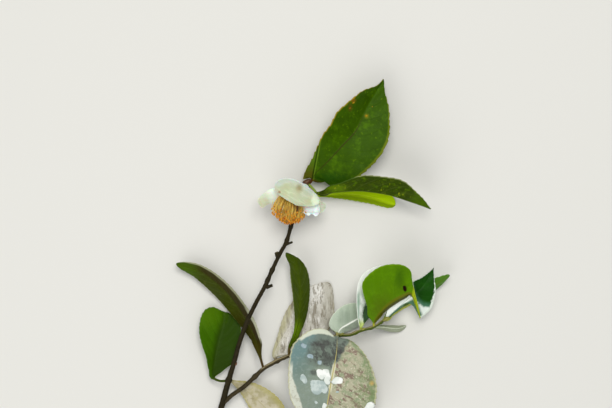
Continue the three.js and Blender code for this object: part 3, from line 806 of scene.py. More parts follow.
def yellow_speckles(look):
    look.paint("#4e6c02", 0.8, grain=(0.54, 0.68, 3.0, 4, 0.6))
    look.paint("#8a9a0e", 0.8, grain=(0.64, 0.71, 1.5, 3, 0.6))
    look.paint("#658402", 0.7, spot=(10.4, 31.0, 2.0, 0.9, (0.5, 1.2)))
    look.paint("#476202", 0.8, plane=(44.0, 26.0, -25, 2.5, 2.0))


def lit_tip_and_shaded_half(look):
    # Painted light towards the tip, where sunlight shines through the leaf, and painted shade on its right
    # half.
    look.paint("#c6ec00", 0.8, along=(0.35, 0.85))
    look.paint("#728a00", 0.85, across=(0.5, 0.72))


def folded_brown_half_and_rim_highlight(look):
    """Brown towards the stalk and darker brown on the right half, with a pale rim, which at its lower part is
    a painted highlight.
    """
    look.paint("#332c08", 0.7, along=(0.5, 0.3))
    look.paint("#352b0b", 0.8, across=(0.48, 0.6))
    look.paint("#5f6330", 0.5, grain=(0.6, 0.7, 1.6, 4, 0.6))
    look.paint("#456302", 0.8, plane=(-53.0, -5.0, 170, 5.0, 2.0))
    look.paint("#a9ac88", 0.9, across=(0.81, 0.88))
    # Painted highlight along the lower part of the rim.
    look.paint("#c6c8ac", 0.9, across=(0.76, 0.82), along=(0.42, 0.34))
    look.paint("#3a3408", 0.95, along=(0.17, 0.11))


def fold_shade_light_and_rust(look):
    """A lit strip beyond the fold, browned below, with a painted shadow along the crease and a painted
    highlight beside it, a painted shadow near the base, and three rusty stains.
    """
    look.paint("#4c7202", 0.7, grain=(0.5, 0.72, 4.5, 5, 0.6))
    look.paint("#648604", 0.5, grain=(0.58, 0.72, 1.6, 4, 0.6))
    # Painted shadow near the base of the leaf.
    look.paint("#0e3f02", 0.6, spot=(7.5, 35.3, 4.0, 0.9, (0.55, 1.6)))
    strip = look.product(look.plane(1.2, 42.4, TOP_FOLD_SIDE, 0.15), look.plane(0, 53, -90, 1.0))
    look.paint("#567411", 0.9, strip)
    look.paint("#54490f", 0.75, strip, plane=(0, 40.0, -90, 3.0, 1.5))
    # A painted shadow along the crease, and beside it a painted highlight on the fold's edge.
    look.paint("#1e3302", 0.85, band=(1.2, 42.4, TOP_FOLD_SIDE, 0.55))
    look.paint("#6d8c22", 0.6, band=(1.8, 42.3, TOP_FOLD_SIDE, 0.5))
    look.paint("#8a5a10", 0.8, spot=(18.0, 70.0, 0.9, 0.9))
    look.paint("#5c4610", 0.7, spot=(16.6, 67.0, 1.1, 0.9, (1.3, 0.8)))
    look.paint("#7c7c10", 0.8, spot=(24.1, 63.3, 0.9, 0.9))


def green_right_margin(look):
    look.paint("#62740f", 0.85, across=(0.95, 0.97))


def dim_margin(look):
    look.paint("#34500a", 0.9, across=(0.06, 0.04), plane=(19.0, 34.0, 180, 2.0))


def green_tip(look):
    look.paint("#6b8c02", 0.7, spot=(-7.0, -33.0, 2.2, 0.9, (1.0, 0.6)))
    look.paint("#6f7c2c", 0.8, across=(0.1, 0.05))


def shaded_half(look):
    look.paint("#2a4500", 0.65, plane=(-45.0, -43.0, -90, 6.0))
    look.paint("#223601", 0.8, across=(0.3, 0.48))
    look.paint("#4f7406", 0.7, spot=(-47.6, -25.2, 6.0, 0.9))


def gloss_below(look):
    """The sky's gloss around the glossy leaf's dark middle, at its base and along its teeth."""
    for code, radius, softness in (("#4c7a62", 8.4, 0.16), ("#e9f0ea", 9.8, 0.06)):
        look.paint(code, 0.9, look.inverse(look.spot(52.2, -11.3, radius, softness, (1.15, 0.85), 0.1)))
    base = look.plane(45.6, -18.0, 205, 0.8, 0.5, 2.0)
    look.paint("#3c6a48", 0.95, base)
    look.paint("#eef4ee", 0.97, base, across=(0.6, 0.53))
    teeth = look.math("MULTIPLY_ADD", look.noise(0.9, 3), 0.16, 0.84)
    rim = look.step(look.math("SUBTRACT", look.across_share, teeth), -0.01, 0.02)
    look.paint("#e3ebe1", 0.95, rim, plane=(52.6, -12.0, 0, 0.5))


def gloss_base(look):
    base = look.plane(46.0, -18.0, 205, 1.2, 0.6, 2.0)
    look.paint("#4f6c10", 0.9, base)
    look.paint("#b9bf3a", 0.9, base, across=(0.68, 0.74))


def shaded_corner(look):
    look.paint("#5f9002", 0.5, grain=(0.5, 0.72, 3.5, 4))
    look.paint("#325602", 0.7, spot=(38.6, -10.0, 2.6, 0.9, (1.4, 0.55)))
    look.paint("#4c6c02", 0.5, spot=(33.5, -17.0, 5.5, 0.9, (0.8, 1.0)))
    look.paint("#4a5c02", 0.7, spot=(31.0, -23.5, 4.0, 0.9, (0.8, 0.8)))
    look.paint("#4c4c06", 0.9, across=(0.52, 0.56))
    look.paint("#1a0c02", 0.95, spot=(41.1, -14.0, 0.8, 0.5, (1.1, 0.6)))


def yellow_edge(look):
    look.paint("#a3b41c", 0.9, plane=(44.5, -16.0, -8, 0.5))


def edge_gloss(look):
    look.paint("#f2f6f0", 0.8, grain=(0.4, 0.6, 3.0, 3))
    look.paint("#7ea68a", 0.7, across=(0.2, 0.08), plane=(0, -15.0, -90, 2.0))
    look.paint("#f8fbf6", 0.95, plane=(24.0, -14.0, 110, 2.5, 0.5))
    look.paint("#a9bd52", 0.9, along=(0.16, 0.05))


def dull_middle(look):
    look.paint("#8d9c89", 0.85, spot=(16.0, -27.4, 4.2, 0.8))


def shaded_wedge(look):
    # Painted shade: a dark wedge on the pale leaf beside the cupped leaf's edge.
    look.paint("#143808", 0.97, spot=(24.3, -26.2, 2.4, 0.25, (1.2, 0.45), 0.2))


def palette(*codes):
    return dict(zip(("base", "dark", "light", "vein", "rib", "margin"), codes))


DARK = palette("#355400", "#2a4400", "#3f6200", "#2a4500", "#37380c", "#7c7f14")
OLIVE = palette("#3d4a04", "#313b02", "#4a5a06", "#55632a", "#4c5a1c", "#7d8446")
# BRIGHT and LIME are lightened greens: painted light, for sunlight shining through the leaves.
BRIGHT = palette("#517b00", "#476e00", "#5c8a00", "#447002", "#5c640c", "#6f9408")
LIME = palette("#a2c600", "#94b800", "#b0d600", "#b4d028", "#bcd02c", "#b4cc28")
# PALE is near white: on the pale leaf's glossy upper face it is mostly a painted sky reflection.
PALE = palette("#d9e4d7", "#bccfbb", "#eef4ec", "#b4c8b0", "#93aa68", "#f4f7ef")
GLOSSY = palette("#124201", "#0c3400", "#1f5408", "#1c4c0c", "#245812", "#d3ddd0")
GREY = palette("#93a48f", "#7c8e78", "#b7c3b0", "#c3cdb6", "#dbe2d0", "#ccd5c0")
OLD = palette("#7f8d7e", "#6f7f72", "#98a28c", "#9aa284", "#b3a960", "#bdbb92")
WEATHERED = palette("#cbc7bc", "#a39e91", "#dcd9d0", "#a8a497", "#cbc7bc", "#a89f80")
YELLOWED = palette("#a59d78", "#979066", "#c8c09c", "#b8ae84", "#aea67e", "#b0a448")

MATT = dict(Specular_IOR_Level=0.05)
blades = {}


def add_leaf(name, slot, up, down, under_up, special, **sizes):
    """Makes a leaf. up and down are the colours of the faces that look up and down.

    under_up says that the leaf's underside, where the veins stand out, looks up. special is what
    the look of this leaf has besides, and sizes are those of its blade.
    """
    blade = Blade(**sizes)
    materials = [
        leaf_material(f"{name}_{face}", **colours, veins=blade.veins, **special)
        for face, colours in (("up", up), ("down", down))
    ]
    place_piece(blade_object(f"fine_{name}", blade, materials, LEAF_THICKNESS, under_up), slot, name)
    blades[name] = blade


add_leaf(
    "leaf_top_broad", "leaf_dark_green", dict(DARK, margin="#a08c2a"), OLIVE, True,
    dict(MATT, extra=fold_shade_light_and_rust, over=green_right_margin, stalk="#5b3218", rib_width=0.03,
         rib_until=0.8, margin_width=0.045),
    spine=[(-1.8, 32.9, 6.0), (-0.2, 34.9, 7.2), (0.9, 37.4, 8.4), (6.8, 43.2, 11.0),
           (13.5, 50.4, 13.0), (18.9, 56.3, 13.0), (23.9, 66.2, 11.5), (31.5, 79.9, 9.0)],
    left_edge=[(-2.1, 33.2, 6.3), (-4.4, 33.6, 6.5), (-3.8, 38.2, 8.4), (-1.0, 43.6, 10.5),
               (1.7, 50.0, 14.5), (4.0, 54.7, 17.0), (7.3, 59.2, 19.5), (10.7, 65.2, 21.5),
               (15.2, 69.2, 21.5), (18.6, 72.0, 20.0), (22.1, 74.7, 17.5), (25.2, 76.0, 15.0),
               (29.0, 77.4, 12.0)],
    right=(9.4, 14.8, 15.9, 11.4, 3.2), right_rise=(5, 5, 10),
    fold=((-0.5, 33.3), (2.9, 51.5), 0.9), teeth=19, tooth_depth=0.5, wave=0.5, veins=8,
)
add_leaf(
    "leaf_top_arching", "leaf_olive", dict(OLIVE, base="#304300", dark="#293800", margin="#8d9460"), OLIVE,
    True, dict(MATT, extra=yellow_speckles, over=dim_margin, stalk="#93aa46", rib_width=0.05),
    spine=[(-1.9, 32.7, 6.3), (0.3, 30.4, 8.6), (2.6, 28.2, 11.5), (9.9, 29.0, 14.0),
           (21.2, 29.5, 16.0), (34.2, 27.7, 15.5), (43.4, 24.9, 13.0), (52.9, 21.7, 10.5)],
    left_edge=[(2.9, 28.4, 11.8), (7.3, 32.0, 15.5), (11.9, 33.3, 19.0), (21.2, 36.6, 22.5),
               (31.1, 36.2, 23.5), (39.9, 34.5, 22.5), (46.1, 29.5, 19.0), (50.0, 25.9, 14.0)],
    right=(0.8, 5.0, 9.0, 8.0, 2.0), right_rise=(-115, -115, -100), stalk=0.1, teeth=20, wave=0.3,
    veins=9,
)
add_leaf(
    "leaf_top_lime", "leaf_lime", LIME, LIME, False, dict(MATT, extra=lit_tip_and_shaded_half, stalk="#a8bf3a"),
    spine=[(-4.6, 26.9, 6.1), (-0.5, 26.8, 5.0), (2.7, 27.5, 4.2), (14.4, 28.4, 2.6),
           (25.7, 27.0, 1.2), (37.4, 23.4, 0.2)],
    left=(2.0, 5.0, 6.0, 5.5, 3.5), right=(0.8, 2.2, 3.1, 3.0, 2.4), stalk=0.17, teeth=14, veins=7,
)
add_leaf(
    "leaf_left_folded", "leaf_olive", dict(OLIVE, base="#353f04", light="#404a06", rib="#363f08"), DARK,
    True, dict(MATT, extra=folded_brown_half_and_rim_highlight, stalk="#453416", rib_width=0.02),
    spine=[(-22.3, -50.4, 8.0), (-23.9, -44.6, 9.0), (-26.1, -36.7, 9.0), (-31.7, -26.2, 9.0),
           (-39.6, -15.8, 8.8), (-50.9, -6.8, 8.2), (-61.7, -3.2, 6.5)],
    left=(1.1, 4.9, 7.5, 6.4, 3.4), right=(1.4, 6.6, 7.0, 5.8, 3.6), left_rise=(-50, -50, -45),
    right_rise=(-62, -62, -50), stalk=0.06, teeth=26, wave=0.4, veins=9,
)
add_leaf(
    "leaf_middle_upright", "leaf_olive", dict(OLIVE, base="#394a00", dark="#2e3c00", rib="#394a02"), DARK,
    True, dict(MATT, extra=green_tip, stalk="#54461e", rib_width=0.03),
    spine=[(-10.8, -44.6, 9.0), (-10.6, -40.5, 11.0), (-8.1, -35.1, 12.0), (-5.9, -25.2, 13.0),
           (-5.6, -14.0, 13.0), (-7.7, -3.6, 12.0), (-12.2, 1.8, 10.5)],
    left=(0.8, 3.0, 6.6, 6.6, 3.2), right=(1.5, 4.8, 6.8, 6.8, 2.8), left_rise=(-57, -57, -48),
    right_rise=(-55, -55, -45), stalk=0.08, teeth=20, wave=0.3, veins=8,
)
add_leaf(
    "leaf_round_old", "leaf_weathered", OLD, OLD, False,
    dict(extra=old_round_zones, stalk="#a39a4c", rib_width=0.016, margin_width=0.03, rough=(0.45, 0.75)),
    spine=[(10.8, -34.4, 10.0), (10.8, -35.2, 12.8), (10.7, -41.0, 14.3), (9.8, -47.3, 14.7),
           (8.6, -53.6, 14.6), (6.9, -63.0, 13.0), (5.4, -71.1, 10.6), (3.2, -83.3, 6.0)],
    left_edge=[(11.5, -35.1, 12.6), (13.5, -36.3, 13.0), (15.8, -36.8, 13.4), (18.5, -38.2, 14.4),
               (21.2, -40.6, 15.4), (23.9, -43.9, 16.2), (26.1, -48.2, 16.9), (27.9, -53.1, 17.3),
               (28.8, -58.1, 17.3), (28.5, -62.6, 16.8), (27.5, -68.0, 15.4), (23.5, -74.5, 12.6),
               (15.0, -80.5, 9.0)],
    right_edge=[(9.9, -34.8, 12.6), (8.1, -33.7, 13.2), (5.9, -32.5, 13.8), (3.2, -31.8, 14.4),
                (-0.5, -32.2, 15.0), (-3.6, -33.7, 15.4), (-6.8, -36.2, 15.8), (-9.5, -39.6, 16.4),
                (-10.6, -44.1, 17.0), (-11.2, -49.1, 17.4), (-11.3, -54.5, 17.4),
                (-11.0, -59.9, 17.0), (-9.9, -64.4, 16.0), (-8.1, -68.0, 15.0),
                (-4.0, -75.0, 11.5), (0.0, -80.0, 8.0)],
    stalk=0.05, teeth=26, tooth_depth=0.5, wave=0.4, veins=9,
)
add_leaf(
    "leaf_right_cupped", "leaf_bright_green", BRIGHT, PALE, True,
    dict(MATT, extra=shaded_corner, over=yellow_edge, stalk="#a3a23a", rib_width=0.085, margin_width=0.03),
    spine=[(27.3, -31.3, 11.5), (27.5, -28.7, 12.6), (31.4, -23.6, 15.0), (35.2, -20.4, 16.2),
           (40.1, -17.6, 16.6), (43.4, -16.3, 16.2), (45.2, -17.6, 15.4), (46.6, -21.6, 13.6),
           (48.3, -27.4, 10.5)],
    left_edge=[(26.8, -29.7, 11.8), (24.6, -26.4, 12.5), (24.3, -22.5, 14.0), (22.6, -17.1, 17.0),
               (21.9, -11.7, 19.5), (24.1, -8.1, 21.5), (29.7, -4.0, 23.0), (35.2, -2.8, 23.5),
               (40.6, -3.5, 23.0), (43.5, -5.9, 21.5), (44.3, -10.3, 19.5), (45.6, -16.0, 16.5),
               (46.9, -20.9, 14.0)],
    right=(1.5, 3.5, 4.0, 3.0, 1.0), right_rise=(-58, -68, -80), bulge=-0.05, teeth=26,
    tooth_depth=0.2, veins=7,
)
add_leaf(
    "leaf_right_glossy", "leaf_glossy_green", GLOSSY, PALE, False,
    dict(extra=gloss_below, stalk="#8a9a3a", rib_width=0.012, margin_width=0.09, rough=(0.3, 0.45),
         Specular_IOR_Level=0.08),
    spine=[(31.9, -28.4, 12.0), (34.4, -25.9, 11.0), (37.8, -23.0, 10.6), (43.2, -18.5, 10.4),
           (49.1, -13.5, 10.6), (54.2, -5.0, 10.8)],
    left_edge=[(32.9, -26.0, 11.0), (34.0, -21.9, 11.6), (36.5, -18.4, 12.0), (39.6, -15.6, 12.2),
               (44.5, -10.8, 12.2), (48.8, -8.9, 11.6)],
    right_edge=[(33.3, -27.2, 11.0), (36.0, -25.4, 10.4), (40.1, -22.4, 10.2), (43.6, -19.4, 10.0),
                (46.2, -20.9, 9.3), (48.3, -27.5, 7.2), (51.3, -25.7, 7.6), (53.8, -22.5, 8.4),
                (54.9, -18.0, 9.6), (55.3, -14.4, 10.2), (54.7, -9.9, 10.6)],
    teeth=22, tooth_depth=0.4, veins=7,
)
add_leaf(
    "leaf_right_pale", "leaf_pale_green", PALE, BRIGHT, False,
    dict(MATT, extra=edge_gloss, over=shaded_wedge, stalk="#8f9a3c", rough=(0.2, 0.35)),
    spine=[(21.4, -33.0, 11.0), (21.9, -28.4, 10.8), (23.9, -20.7, 11.0), (25.2, -13.5, 10.6),
           (27.2, -8.0, 10.4), (30.4, -3.6, 10.4)],
    left_edge=[(21.0, -32.3, 11.2), (20.2, -28.4, 12.6), (19.7, -23.9, 14.6), (19.5, -19.4, 15.8),
               (19.6, -14.9, 16.0), (20.3, -11.3, 15.8), (21.6, -8.6, 15.2), (23.4, -6.6, 14.2),
               (26.4, -4.9, 12.6)],
    right=(1.5, 4.0, 6.0, 5.0, 2.0), right_rise=(10, 10, 10), veins=7,
)
add_leaf(
    # The grey leaf's pale grey is partly a painted sky reflection on its glossy upper face, and its white
    # midrib is a painted highlight.
    "leaf_right_grey", "leaf_pale_green", dict(GREY, base="#b2c1ac", dark="#98a892", rib="#f4f7ee"), OLD,
    False, dict(extra=dull_middle, stalk="#a5a86a", rib_width=0.08),
    spine=[(10.9, -35.2, 9.8), (12.4, -32.6, 7.8), (16.9, -29.9, 6.6), (22.7, -26.4, 5.0),
           (28.4, -20.4, 4.0)],
    left=(5.6, 8.6, 8.4, 6.0, 2.8), right=(2.2, 4.6, 5.2, 4.0, 2.0), left_rise=(8, 8, 8),
    right_rise=(-50, -50, -50), teeth=12, veins=6,
)
add_leaf(
    "leaf_right_edge_on", "leaf_pale_green", dict(GREY, base="#9aa385", dark="#828a6c"), OLIVE, False,
    dict(stalk="#7d8a4a"),
    spine=[(27.0, -31.3, 11.4), (31.9, -31.7, 8.5), (36.0, -32.3, 5.5), (39.6, -32.3, 2.8),
           (42.3, -31.4, 0.2)],
    left=(1.0, 2.2, 3.0, 2.6, 1.4), right=(1.0, 2.2, 3.2, 2.8, 1.4), left_rise=(-70, -70, -50),
    right_rise=(-60, -60, -40), veins=6,
)
add_leaf(
    "leaf_right_tip", "leaf_bright_green", dict(BRIGHT, base="#4a7a10", dark="#3f6a0c"), PALE, False,
    dict(extra=gloss_base, stalk="#98a43a", Specular_IOR_Level=0.25),
    spine=[(30.9, -29.0, 11.8), (33.6, -27.2, 8.2), (38.2, -23.4, 6.2), (45.5, -18.9, 5.8),
           (54.5, -13.1, 6.0), (61.6, -8.1, 6.5)],
    left=(1.5, 4.4, 5.0, 4.4, 2.0), right=(1.5, 4.0, 5.0, 4.4, 2.0), left_rise=(35, 35, 35),
    right_rise=(-65, -65, -50), teeth=16, veins=8,
)
add_leaf(
    "leaf_left_broad", "leaf_dark_green",
    dict(DARK, base="#3a6200", dark="#325600", rib="#304a06", margin="#486c08"), DARK, True,
    dict(MATT, extra=shaded_half, stalk="#3d4a12", rib_width=0.02),
    spine=[(-38.3, -55.8, 7.5), (-42.3, -56.0, 5.6), (-45.3, -54.3, 4.4), (-44.6, -49.1, 3.8),
           (-42.8, -40.1, 2.8), (-40.2, -29.0, 1.0), (-41.2, -24.8, 0.4)],
    left_edge=[(-45.5, -52.6, 4.8), (-47.2, -50.7, 5.0), (-48.4, -45.1, 6.0), (-50.3, -39.5, 6.6),
               (-51.5, -33.5, 6.4), (-50.8, -27.3, 5.6), (-48.8, -23.8, 4.6), (-45.6, -22.6, 3.0),
               (-42.8, -23.7, 1.4)],
    right_edge=[(-43.7, -53.9, 4.6), (-39.5, -50.7, 4.4), (-35.4, -47.4, 4.2), (-33.0, -41.5, 3.6),
                (-32.4, -33.3, 2.6), (-33.6, -28.4, 1.8), (-36.9, -25.9, 1.0)],
    stalk=0.18, teeth=18, wave=0.3, veins=7,
)
add_leaf(
    "leaf_middle_weathered", "leaf_weathered", WEATHERED, OLD, False,
    dict(extra=weathered_streaks_and_highlights, stalk="#7d745a", rough=(0.5, 0.8)),
    spine=[(-16.2, -47.0, 8.5), (-17.4, -44.6, 6.4), (-13.5, -36.0, 4.0), (-7.2, -27.5, 2.8),
           (-0.9, -20.7, 2.0), (7.7, -12.2, 0.8)],
    left=(1.2, 2.6, 6.0, 6.4, 3.4), right=(4.0, 11.5, 15.0, 13.0, 5.4), left_rise=(-10, -10, -10),
    teeth=18, wave=0.4, crumple=0.18, veins=8,
)
add_leaf(
    "leaf_base_weathered", "leaf_yellowed", YELLOWED, OLD, False,
    dict(extra=yellowed_patches, rough=(0.5, 0.8)),
    spine=[(-37.8, -54.9, 7.6), (-36.0, -56.6, 5.2), (-31.5, -59.4, 3.4), (-25.2, -64.8, 2.4),
           (-18.5, -72.0, 1.2), (-10.4, -82.4, 0.2)],
    left=(1.3, 5.2, 7.8, 6.4, 2.4), right=(1.0, 3.4, 6.2, 6.0, 2.2), left_rise=(15, 15, 10),
    right_rise=(5, 5, 0), teeth=18, wave=0.3, veins=8,
)


def add_crusts(name, leaf, slot, height, code, second, spots):
    """Crusts or spots on a leaf: place in the plan, and half sizes along and across the leaf."""
    look = Look(f"{name}_crust", code, **MATT)
    look.paint(second, 0.85, grain=(0.45, 0.6, 3.5, 4))
    look.bump(look.noise(0.5, 4), 0.06)
    crusts = [patch_rows(blades[leaf], *spot, height) for spot in spots]
    place_piece(crust_object(name, crusts, [look.finish((0.6, 0.9))]), slot)


add_crusts("white_lichen_on_round_leaf", "leaf_round_old", "leaf_weathered", 0.16, "#dde3dc", "#f4f5f1", [
    (3.6, -52.4, 2.0, 2.2), (5.8, -52.6, 2.4, 2.4), (6.3, -55.2, 2.2, 1.5), (11.2, -55.4, 1.7, 2.9),
    (25.4, -66.9, 1.9, 2.2), (5.2, -67.0, 1.4, 1.3),
])
add_crusts("lichen_on_round_leaf", "leaf_round_old", "leaf_weathered", 0.12, "#a9b8b5", "#c9d3cf", [
    (2.0, -58.2, 3.0, 4.4), (4.6, -58.2, 2.6, 2.8), (-4.3, -54.5, 1.6, 1.9), (10.6, -60.4, 0.5, 0.8),
    (1.6, -65.2, 0.6, 0.9),
])
add_crusts("faint_lichen_on_round_leaf", "leaf_round_old", "leaf_weathered", 0.06, "#8ea3ac", "#a9b8bc", [
    (-4.3, -39.7, 0.9, 1.4), (-1.6, -44.3, 0.9, 1.6), (3.2, -47.3, 1.0, 1.0),
])
add_crusts("rust_spots_on_top_leaf", "leaf_top_broad", "leaf_dark_green", 0.1, "#b8901c", "#8f5a12", [
    (23.9, 63.5, 0.5, 0.5), (18.2, 71.0, 0.7, 0.4), (17.9, 69.2, 0.5, 0.35), (16.4, 66.6, 0.5, 0.3),
    (26.6, 67.5, 0.3, 0.25),
])
add_crusts("pale_spots_on_arching_leaf", "leaf_top_arching", "leaf_olive", 0.08, "#8f9a1e", "#77800f", [
    (38.6, 28.6, 0.4, 1.0), (40.4, 28.2, 0.3, 0.7), (14.4, 31.1, 0.4, 0.8), (9.9, 31.1, 0.5, 0.8),
])
add_crusts("dark_spots_on_cupped_leaf", "leaf_right_cupped", "leaf_bright_green", 0.1, "#1c0a05", "#36150a", [
    (41.0, -14.0, 0.9, 1.1), (40.7, -13.1, 0.6, 0.8), (41.5, -15.1, 0.4, 0.6),
])


# Twigs.

STEM_POINTS = [
    (-46.2, -83.5, 1.48), (-43.9, -77.0, 2.8), (-41.0, -66.6, 5.2), (-38.2, -56.2, 7.5),
    (-35.6, -47.7, 9.0), (-33.4, -39.6, 10.3), (-29.7, -29.2, 11.4), (-25.7, -20.7, 11.5),
    (-21.6, -13.1, 11.0), (-18.4, -5.9, 10.6), (-15.1, 1.0, 10.0), (-11.9, 7.0, 8.3),
    (-9.6, 14.8, 7.1), (-5.9, 23.9, 6.2), (-1.6, 33.3, 6.0),
]
SIDE_TWIG_POINTS = [
    (-41.0, -66.6, 5.2), (-36.1, -62.1, 6.3), (-31.2, -58.7, 7.0), (-26.1, -53.9, 7.6),
    (-22.3, -50.4, 8.0), (-15.8, -46.7, 8.6), (-10.9, -44.6, 9.0), (-0.5, -40.5, 9.5),
    (10.8, -35.4, 10.0), (16.7, -35.0, 10.5), (21.4, -33.1, 11.0), (27.2, -31.4, 11.5),
    (31.9, -28.4, 12.0),
]
STUBS = [
    ((-12.4, 5.6, 8.8), (-9.2, 6.7, 9.4), (0.85, 0.6, 0.5)),
    ((-15.5, -0.3, 10.0), (-16.4, 2.1, 10.8), (1.1, 1.15, 0.95)),
    ((-21.0, -13.6, 11.0), (-18.2, -12.7, 11.3), (1.0, 0.75, 0.72)),
]
STEM_NODES = (0.235, 0.62, 0.66, 0.78, 0.83, 0.985)
SIDE_TWIG_NODES = (0.235, 0.38, 0.68, 0.83, 0.92, 0.985)


def bark_material(name, brown, dark, grey, green, green_from, lit=None):
    """Bark that turns green towards the twig's tip, from a share of its length on."""
    look = Look(name, brown, Specular_IOR_Level=0.12)
    look.paint(dark, 0.9, grain=(0.48, 0.68, 2.2, 5, 0.65))
    look.paint(grey, 0.7, grain=(0.6, 0.72, 1.1, 4, 0.6))
    young = look.math("ADD", look.along_share, look.wander(0.04, 4.0))
    look.paint(green, 0.85, look.step(young, green_from - 0.05, green_from + 0.05))
    if lit:
        upper_side = look.facing((-0.34, 0.61, 0.7), 0.82, 0.95)
        look.paint(lit, 0.7, upper_side, plane=(-23.5, -50.0, 0, 0.8, 0.5))
    fibres = look.noise(0.5, 2)
    look.paint(dark, 0.6, look.step(fibres, 0.6, 0.7))
    look.bump(fibres, 0.12)
    look.bump(look.noise(1.6, 5), 0.15)
    return look.finish((0.55, 0.85))


def wood_material(name, pale, dark):
    look = Look(name, pale, Specular_IOR_Level=0.12)
    look.paint(dark, 0.7, grain=(0.5, 0.65, 0.6, 4))
    look.bump(look.noise(0.3, 4), 0.05)
    return look.finish((0.7, 0.9))


stem_bark = bark_material("stem_bark", "#2a2412", "#19160a", "#4c442c", "#35340f", 0.93)
side_bark = bark_material("side_twig_bark", "#3c3420", "#241e12", "#6f6850", "#4a5a10", 0.72, "#a39672")
cut_wood = wood_material("cut_wood", "#b9a67c", "#94805a")
old_scar = wood_material("old_scar", "#5c5340", "#3a3326")

stem = limb_rings(STEM_POINTS, STEM_RADII, STEM_NODES, tips=3)
place_piece(limb_object("bark_of_stem", [stem], [stem_bark, cut_wood]), "bark", "stem_and_flowering_twig")
stubs = [limb_rings((foot, tip), radii, sides=12, step=0.3) for foot, tip, radii in STUBS]
place_piece(limb_object("leaf_stubs", stubs, [stem_bark, old_scar]), "bark")
side_twig = limb_rings(SIDE_TWIG_POINTS, SIDE_TWIG_RADII, SIDE_TWIG_NODES, tips=3)
place_piece(limb_object("bark_of_side_twig", [side_twig], [side_bark]), "bark", "side_twig")


# Flower.

FLOWER_SIDE = -unit(np.cross(FLOWER_AXIS, UP))
FLOWER_TOP = unit(np.cross(FLOWER_AXIS, FLOWER_SIDE))


def in_flower(along, out, around):
    """A place in the flower: along its axis, out from it, and round from +Z in degrees."""
    angle = math.radians(around)
    return (FLOWER_BASE + FLOWER_AXIS * along + FLOWER_TOP * out * math.cos(angle)
            + FLOWER_SIDE * out * math.sin(angle))


def across_flower(around):
    angle = math.radians(around)
    return FLOWER_SIDE * math.cos(angle) - FLOWER_TOP * math.sin(angle)


def even_spine(around, places):
    return [in_flower(along, out, around) for along, out in places]


def petal_material(name, base, shade, claw, tip, rim, extra=None):
    """The look of a petal, with fine lines along it and a rim."""
    look = Look(name, base, Subsurface_Weight=0.5, Subsurface_Scale=0.0012)
    look.paint(shade, 0.7, grain=(0.45, 0.7, 5.0, 3))
    look.paint(claw, 0.7, along=(0.25, 0.02))
    look.paint(tip, 0.9, along=(0.45, 0.95))
    count = look.math("MULTIPLY", look.across_share, PETAL_LINES)
    lines = look.step(look.math("PINGPONG", count, 0.5), 0.16, 0.04)
    look.paint(shade, 0.35, lines)
    look.paint(rim, 0.7, look.step(look.from_rib(), 0.86, 0.96))
    if extra:
        extra(look)
    look.bump(look.noise(1.6, 4), 0.08)
    look.bump(lines, 0.03)
    return look.finish((0.4, 0.6))


def lit_crest(look):
    """The bright rim along the top of the front petal, painted light where it faces the top, a painted
    highlight at its right end, and its stains.
    """
    look.paint("#dfe4c8", 0.4, grain=(0.48, 0.62, 2.2, 4, 0.6, (0.5, 2.0, 1.0), -30))
    # Painted light on the rim, where the petal turns towards the top.
    upwards = look.facing((0.1, 1, 0), 0.1, 0.35)
    look.paint("#d3dcd0", 0.7, upwards, look.facing((0, 0, 1), 0.93, 0.72))
    look.paint("#fbfcfa", 0.97, upwards, look.facing((0, 0, 1), 0.6, 0.42))
    look.paint("#8f8248", 0.75, spot=(-6.0, 31.0, 1.2, 0.9, (1.0, 0.8)))
    # Painted highlight at the petal's right end.
    look.paint("#f8f9dc", 0.9, spot=(1.0, 25.6, 1.9, 0.5, (1.2, 0.6)))
    look.paint("#8a5218", 0.7, spot=(-15.0, 29.1, 0.6, 0.6))


def lit_foot(look):
    look.paint("#f8fcf4", 0.95, plane=(-18.6, 26.4, 25, 2.4, 0.6))


def add_petal(name, skin, **sizes):
    blade = Blade(
        stalk_half_width=PETAL_CLAW_HALF_WIDTH, veins=5, crumple_size=2.6, waves=2.2, softness=0.8, **sizes
    )
    piece = blade_object(f"fine_{name}", blade, [skin], PETAL_THICKNESS, groove=0.0, swell=0.05, step=0.3)
    place_piece(piece, "petal", name)


white_skin = petal_material("white_petal", "#fdfdfa", "#f2f4ea", "#dde3c0", "#ffffff", "#fdfdfa")
add_petal(
    "petal_left",
    petal_material("left_petal", "#dfe9d6", "#d0dcc6", "#f6f8ee", "#c4d0ae", "#dde6d0", lit_foot),
    spine=[(-9.5, 29.4, 17.0), (-11.7, 29.2, 17.5), (-17.1, 28.1, 17.8), (-20.7, 26.6, 17.4),
           (-24.1, 23.6, 15.5)],
    left_edge=[(-11.0, 28.4, 16.5), (-16.2, 25.2, 15.0), (-20.0, 23.7, 14.5), (-22.9, 22.1, 14.5)],
    right_edge=[(-11.0, 30.2, 17.5), (-17.3, 31.0, 18.6), (-21.4, 29.2, 18.2), (-24.7, 25.7, 16.6)],
    arched=True, crumple=0.6, wave=0.2,
)
add_petal(
    "petal_back", white_skin,
    spine=even_spine(226, [(0.5, 2.6), (1.6, 7.0), (4.6, 11.0), (8.4, 13.6)]),
    side=across_flower(226), left=(1.6, 3.6, 5.0, 4.5, 2.6), right=(1.6, 3.6, 5.0, 4.5, 2.6),
    bends=(20, 20), crumple=0.7, wave=0.4,
)
